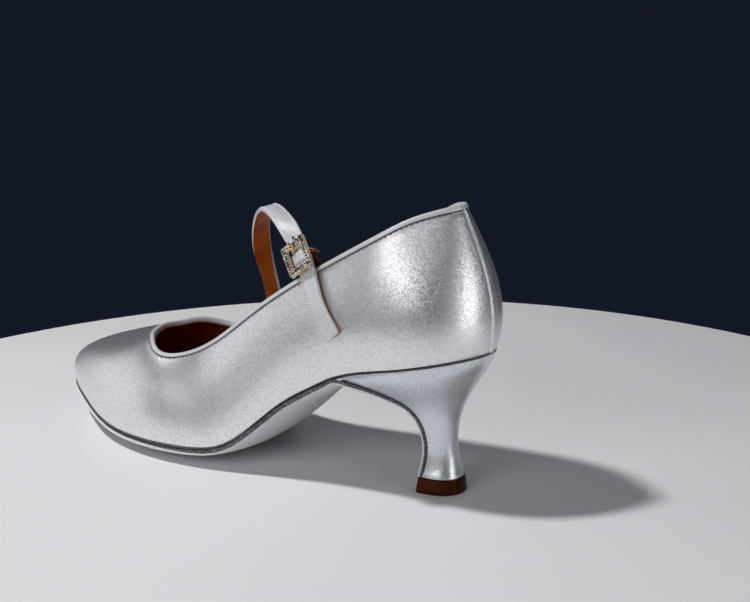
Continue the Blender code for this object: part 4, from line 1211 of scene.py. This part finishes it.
def build_tab():
    """The buckle's tab: sewn inside the wall, doubled round the bar, slotted for the prong."""
    middle, side, along, out = BUCKLE_AXES
    eye = BAR_DIAMETER / 2 + GAP + TAB_THICKNESS
    bar = middle - out * BAR_DEPTH
    inside = -UPPER_WALL - BINDING_PROUD / 2 - STRAP_EASE - TAB_THICKNESS
    path, normals = [bar - along * eye, bar, bar + along * eye], [out, out, out]
    for down in (0, TAB_LENGTH / 2, TAB_LENGTH):
        point, normal = wall_point(FREE_TURN, down, inside)
        path.append(point)
        normals.append(normal)
    knots = run_along(path)
    round_end = eye * (1 - np.cos(np.linspace(0.12, math.pi / 2, 14)))
    at = np.concatenate([round_end, np.linspace(eye, knots[-1], 60)[1:]])
    centre, ahead, behind = (spline(knots, path, at + move) for move in (0, GAP, -GAP))
    travel = unit(ahead - behind)
    normal = square_to(travel, spline(knots, normals, at))
    across = np.cross(travel, normal) * (STRAP_WIDTH / 2 - GAP)
    bulge = np.sqrt(np.clip(eye ** 2 - (at - eye) ** 2, 0, None))
    lift = normal * np.where(at < eye, bulge, np.maximum(bulge, TAB_THICKNESS))[:, None]
    rings = np.array([centre + across * u + lift * v for u, v in TAB_OUTLINE]).transpose(1, 0, 2)
    tab = loft("buckle_tab", rings, [SHADED_TAB_LEATHER])
    ends = np.array([bar - side * STRAP_WIDTH, bar + side * STRAP_WIDTH])
    bore = tube(ends, 24, [BAR_DIAMETER / 2 + GAP] * 2, along)
    eye_pin = joined("eye_cutter", [bore], [SHADED_TAB_LEATHER])
    slot = bar - along * eye / 2
    corners = (-1, -1), (1, -1), (1, 1), (-1, 1)
    box = np.array([[slot + side * a * TAB_SLOT / 2 + along * b * eye * 2 + out * c * eye * 2
                     for a, b in corners] for c in (-1, 1)])
    slot_box = joined("slot_cutter", [box], [SHADED_TAB_LEATHER])
    stands_for(punched(tab, [eye_pin, slot_box]), "buckle_tab")


FLOOR_MIDDLE = (0.035, 0.030)
FLOOR_RADIUS = 0.292
FLOOR_SIDES = 240
# The round edge of the table top: inset from its radius, and height
FLOOR_EDGE = ((0.004, 0.0), (0.0012, -0.0008), (0.0, -0.004), (0.0, -0.02))


def build_floor():
    """A plain pale round table top for a floor."""
    look, shader, place = node_look("pale_floor", (0.78, 0.78, 0.79), 0.5)
    tones = (0.79, 0.79, 0.81), (0.83, 0.83, 0.845)
    wire(shader, Base_Color=ramp(noise(place, 6.0, 3.0), 0.3, 0.7, *tones),
         Normal=bump(noise(place, 400.0, 3.0), 0.05, 0.0002))
    turn = np.arange(FLOOR_SIDES) * 2 * math.pi / FLOOR_SIDES
    rings = []
    for inset, height in FLOOR_EDGE:
        reach = FLOOR_RADIUS - inset
        x, y = FLOOR_MIDDLE[0] + reach * np.cos(turn), FLOOR_MIDDLE[1] + reach * np.sin(turn)
        rings.append(np.column_stack([x, y, height + 0 * x]))
    joined("floor", [np.array(rings)], [look])


# The camera, as fitted to the photograph's frame
AZIMUTH, ELEVATION, ROLL = 215.58, 15.17, -1.51
TARGET = (0.0297, 0.0, 0.07058)
DISTANCE = 0.53795
FOCAL = 1394.73  # in pixels of the frame
FRAME_WIDTH = 750
SENSOR = 36.0


def build_camera():
    """The camera at the photograph's place."""
    az, el, roll = (math.radians(v) for v in (AZIMUTH, ELEVATION, ROLL))
    back = Vector((math.sin(az) * math.cos(el), -math.cos(az) * math.cos(el), math.sin(el)))
    right = Vector((math.cos(az), math.sin(az), 0))
    up = back.cross(right)
    turned_right = right * math.cos(roll) + up * math.sin(roll)
    turned_up = up * math.cos(roll) - right * math.sin(roll)
    data = bpy.data.cameras.new("camera")
    data.sensor_width = SENSOR
    data.lens = FOCAL / FRAME_WIDTH * SENSOR
    camera = shown("camera", data)
    turn = Matrix((turned_right, turned_up, back)).transposed().to_4x4()
    camera.matrix_world = Matrix.Translation(Vector(TARGET) + back * DISTANCE) @ turn
    bpy.context.scene.camera = camera


# Studio lights: azimuth from the toe round to the outer side, elevation, distance, size, power, and
# which rays see it, so that the key's shine on the silver can be softer than its light
LIGHTS = (
    ("key", 28.5, 61, 1.2, (0.09, 0.09), 10.9, "diffuse"),
    ("key_shine", 28.5, 61, 1.2, (0.34, 0.34), 2.8, "glossy"),
    ("outer_side", 87, 27, 1.2, (0.85, 0.42), 3.0, "all"),
    ("outer_top", 126, 46, 1.2, (0.5, 0.3), 0.4, "all"),
    ("toe_side", 20, 8, 1.3, (1.2, 0.7), 2.2, "glossy"),
    ("behind_heel", 175, 3, 1.0, (0.34, 0.9), 2.6, "all"),
    ("overhead", 0, 88, 1.5, (1.5, 1.5), 0.9, "glossy"),
    ("inner_side", -95, 45, 1.2, (0.8, 0.6), 0.8, "all"),
)
LIT_PLACE = (0.05, 0.0, 0.05)
ROOM = (0.0065, 0.0095, 0.0175, 1)  # colour of the dark room


def build_light():
    """Studio light: a key at the toe's side, soft boxes at the sides, a strip behind the heel."""
    world = bpy.data.worlds.new("studio")
    bpy.context.scene.world = world
    world.use_nodes = True
    wire(world.node_tree.nodes["Background"], Color=ROOM, Strength=1.0)
    for name, azimuth, elevation, distance, size, power, rays in LIGHTS:
        az, el = math.radians(azimuth), math.radians(elevation)
        way = Vector((math.cos(az) * math.cos(el), math.sin(az) * math.cos(el), math.sin(el)))
        data = bpy.data.lights.new(name, "AREA")
        data.shape = "RECTANGLE"
        data.size, data.size_y = size
        data.energy = power
        light = shown(name, data)
        light.location = Vector(LIT_PLACE) + way * distance
        light.rotation_euler = (-way).to_track_quat("-Z", "Y").to_euler()
        light.visible_diffuse = rays != "glossy"
        light.visible_glossy = rays != "diffuse"
    bpy.context.scene.view_settings.view_transform = "Standard"


for build in (build_upper, build_lining, build_binding, build_topline_stitches, build_feather_gap_shade,
              build_edge_band, build_insole, build_outsole, build_heel, build_tip, build_strap,
              build_strap_stitches, build_tab, build_buckle, build_stones, build_prong, build_floor,
              build_camera, build_light):
    build()
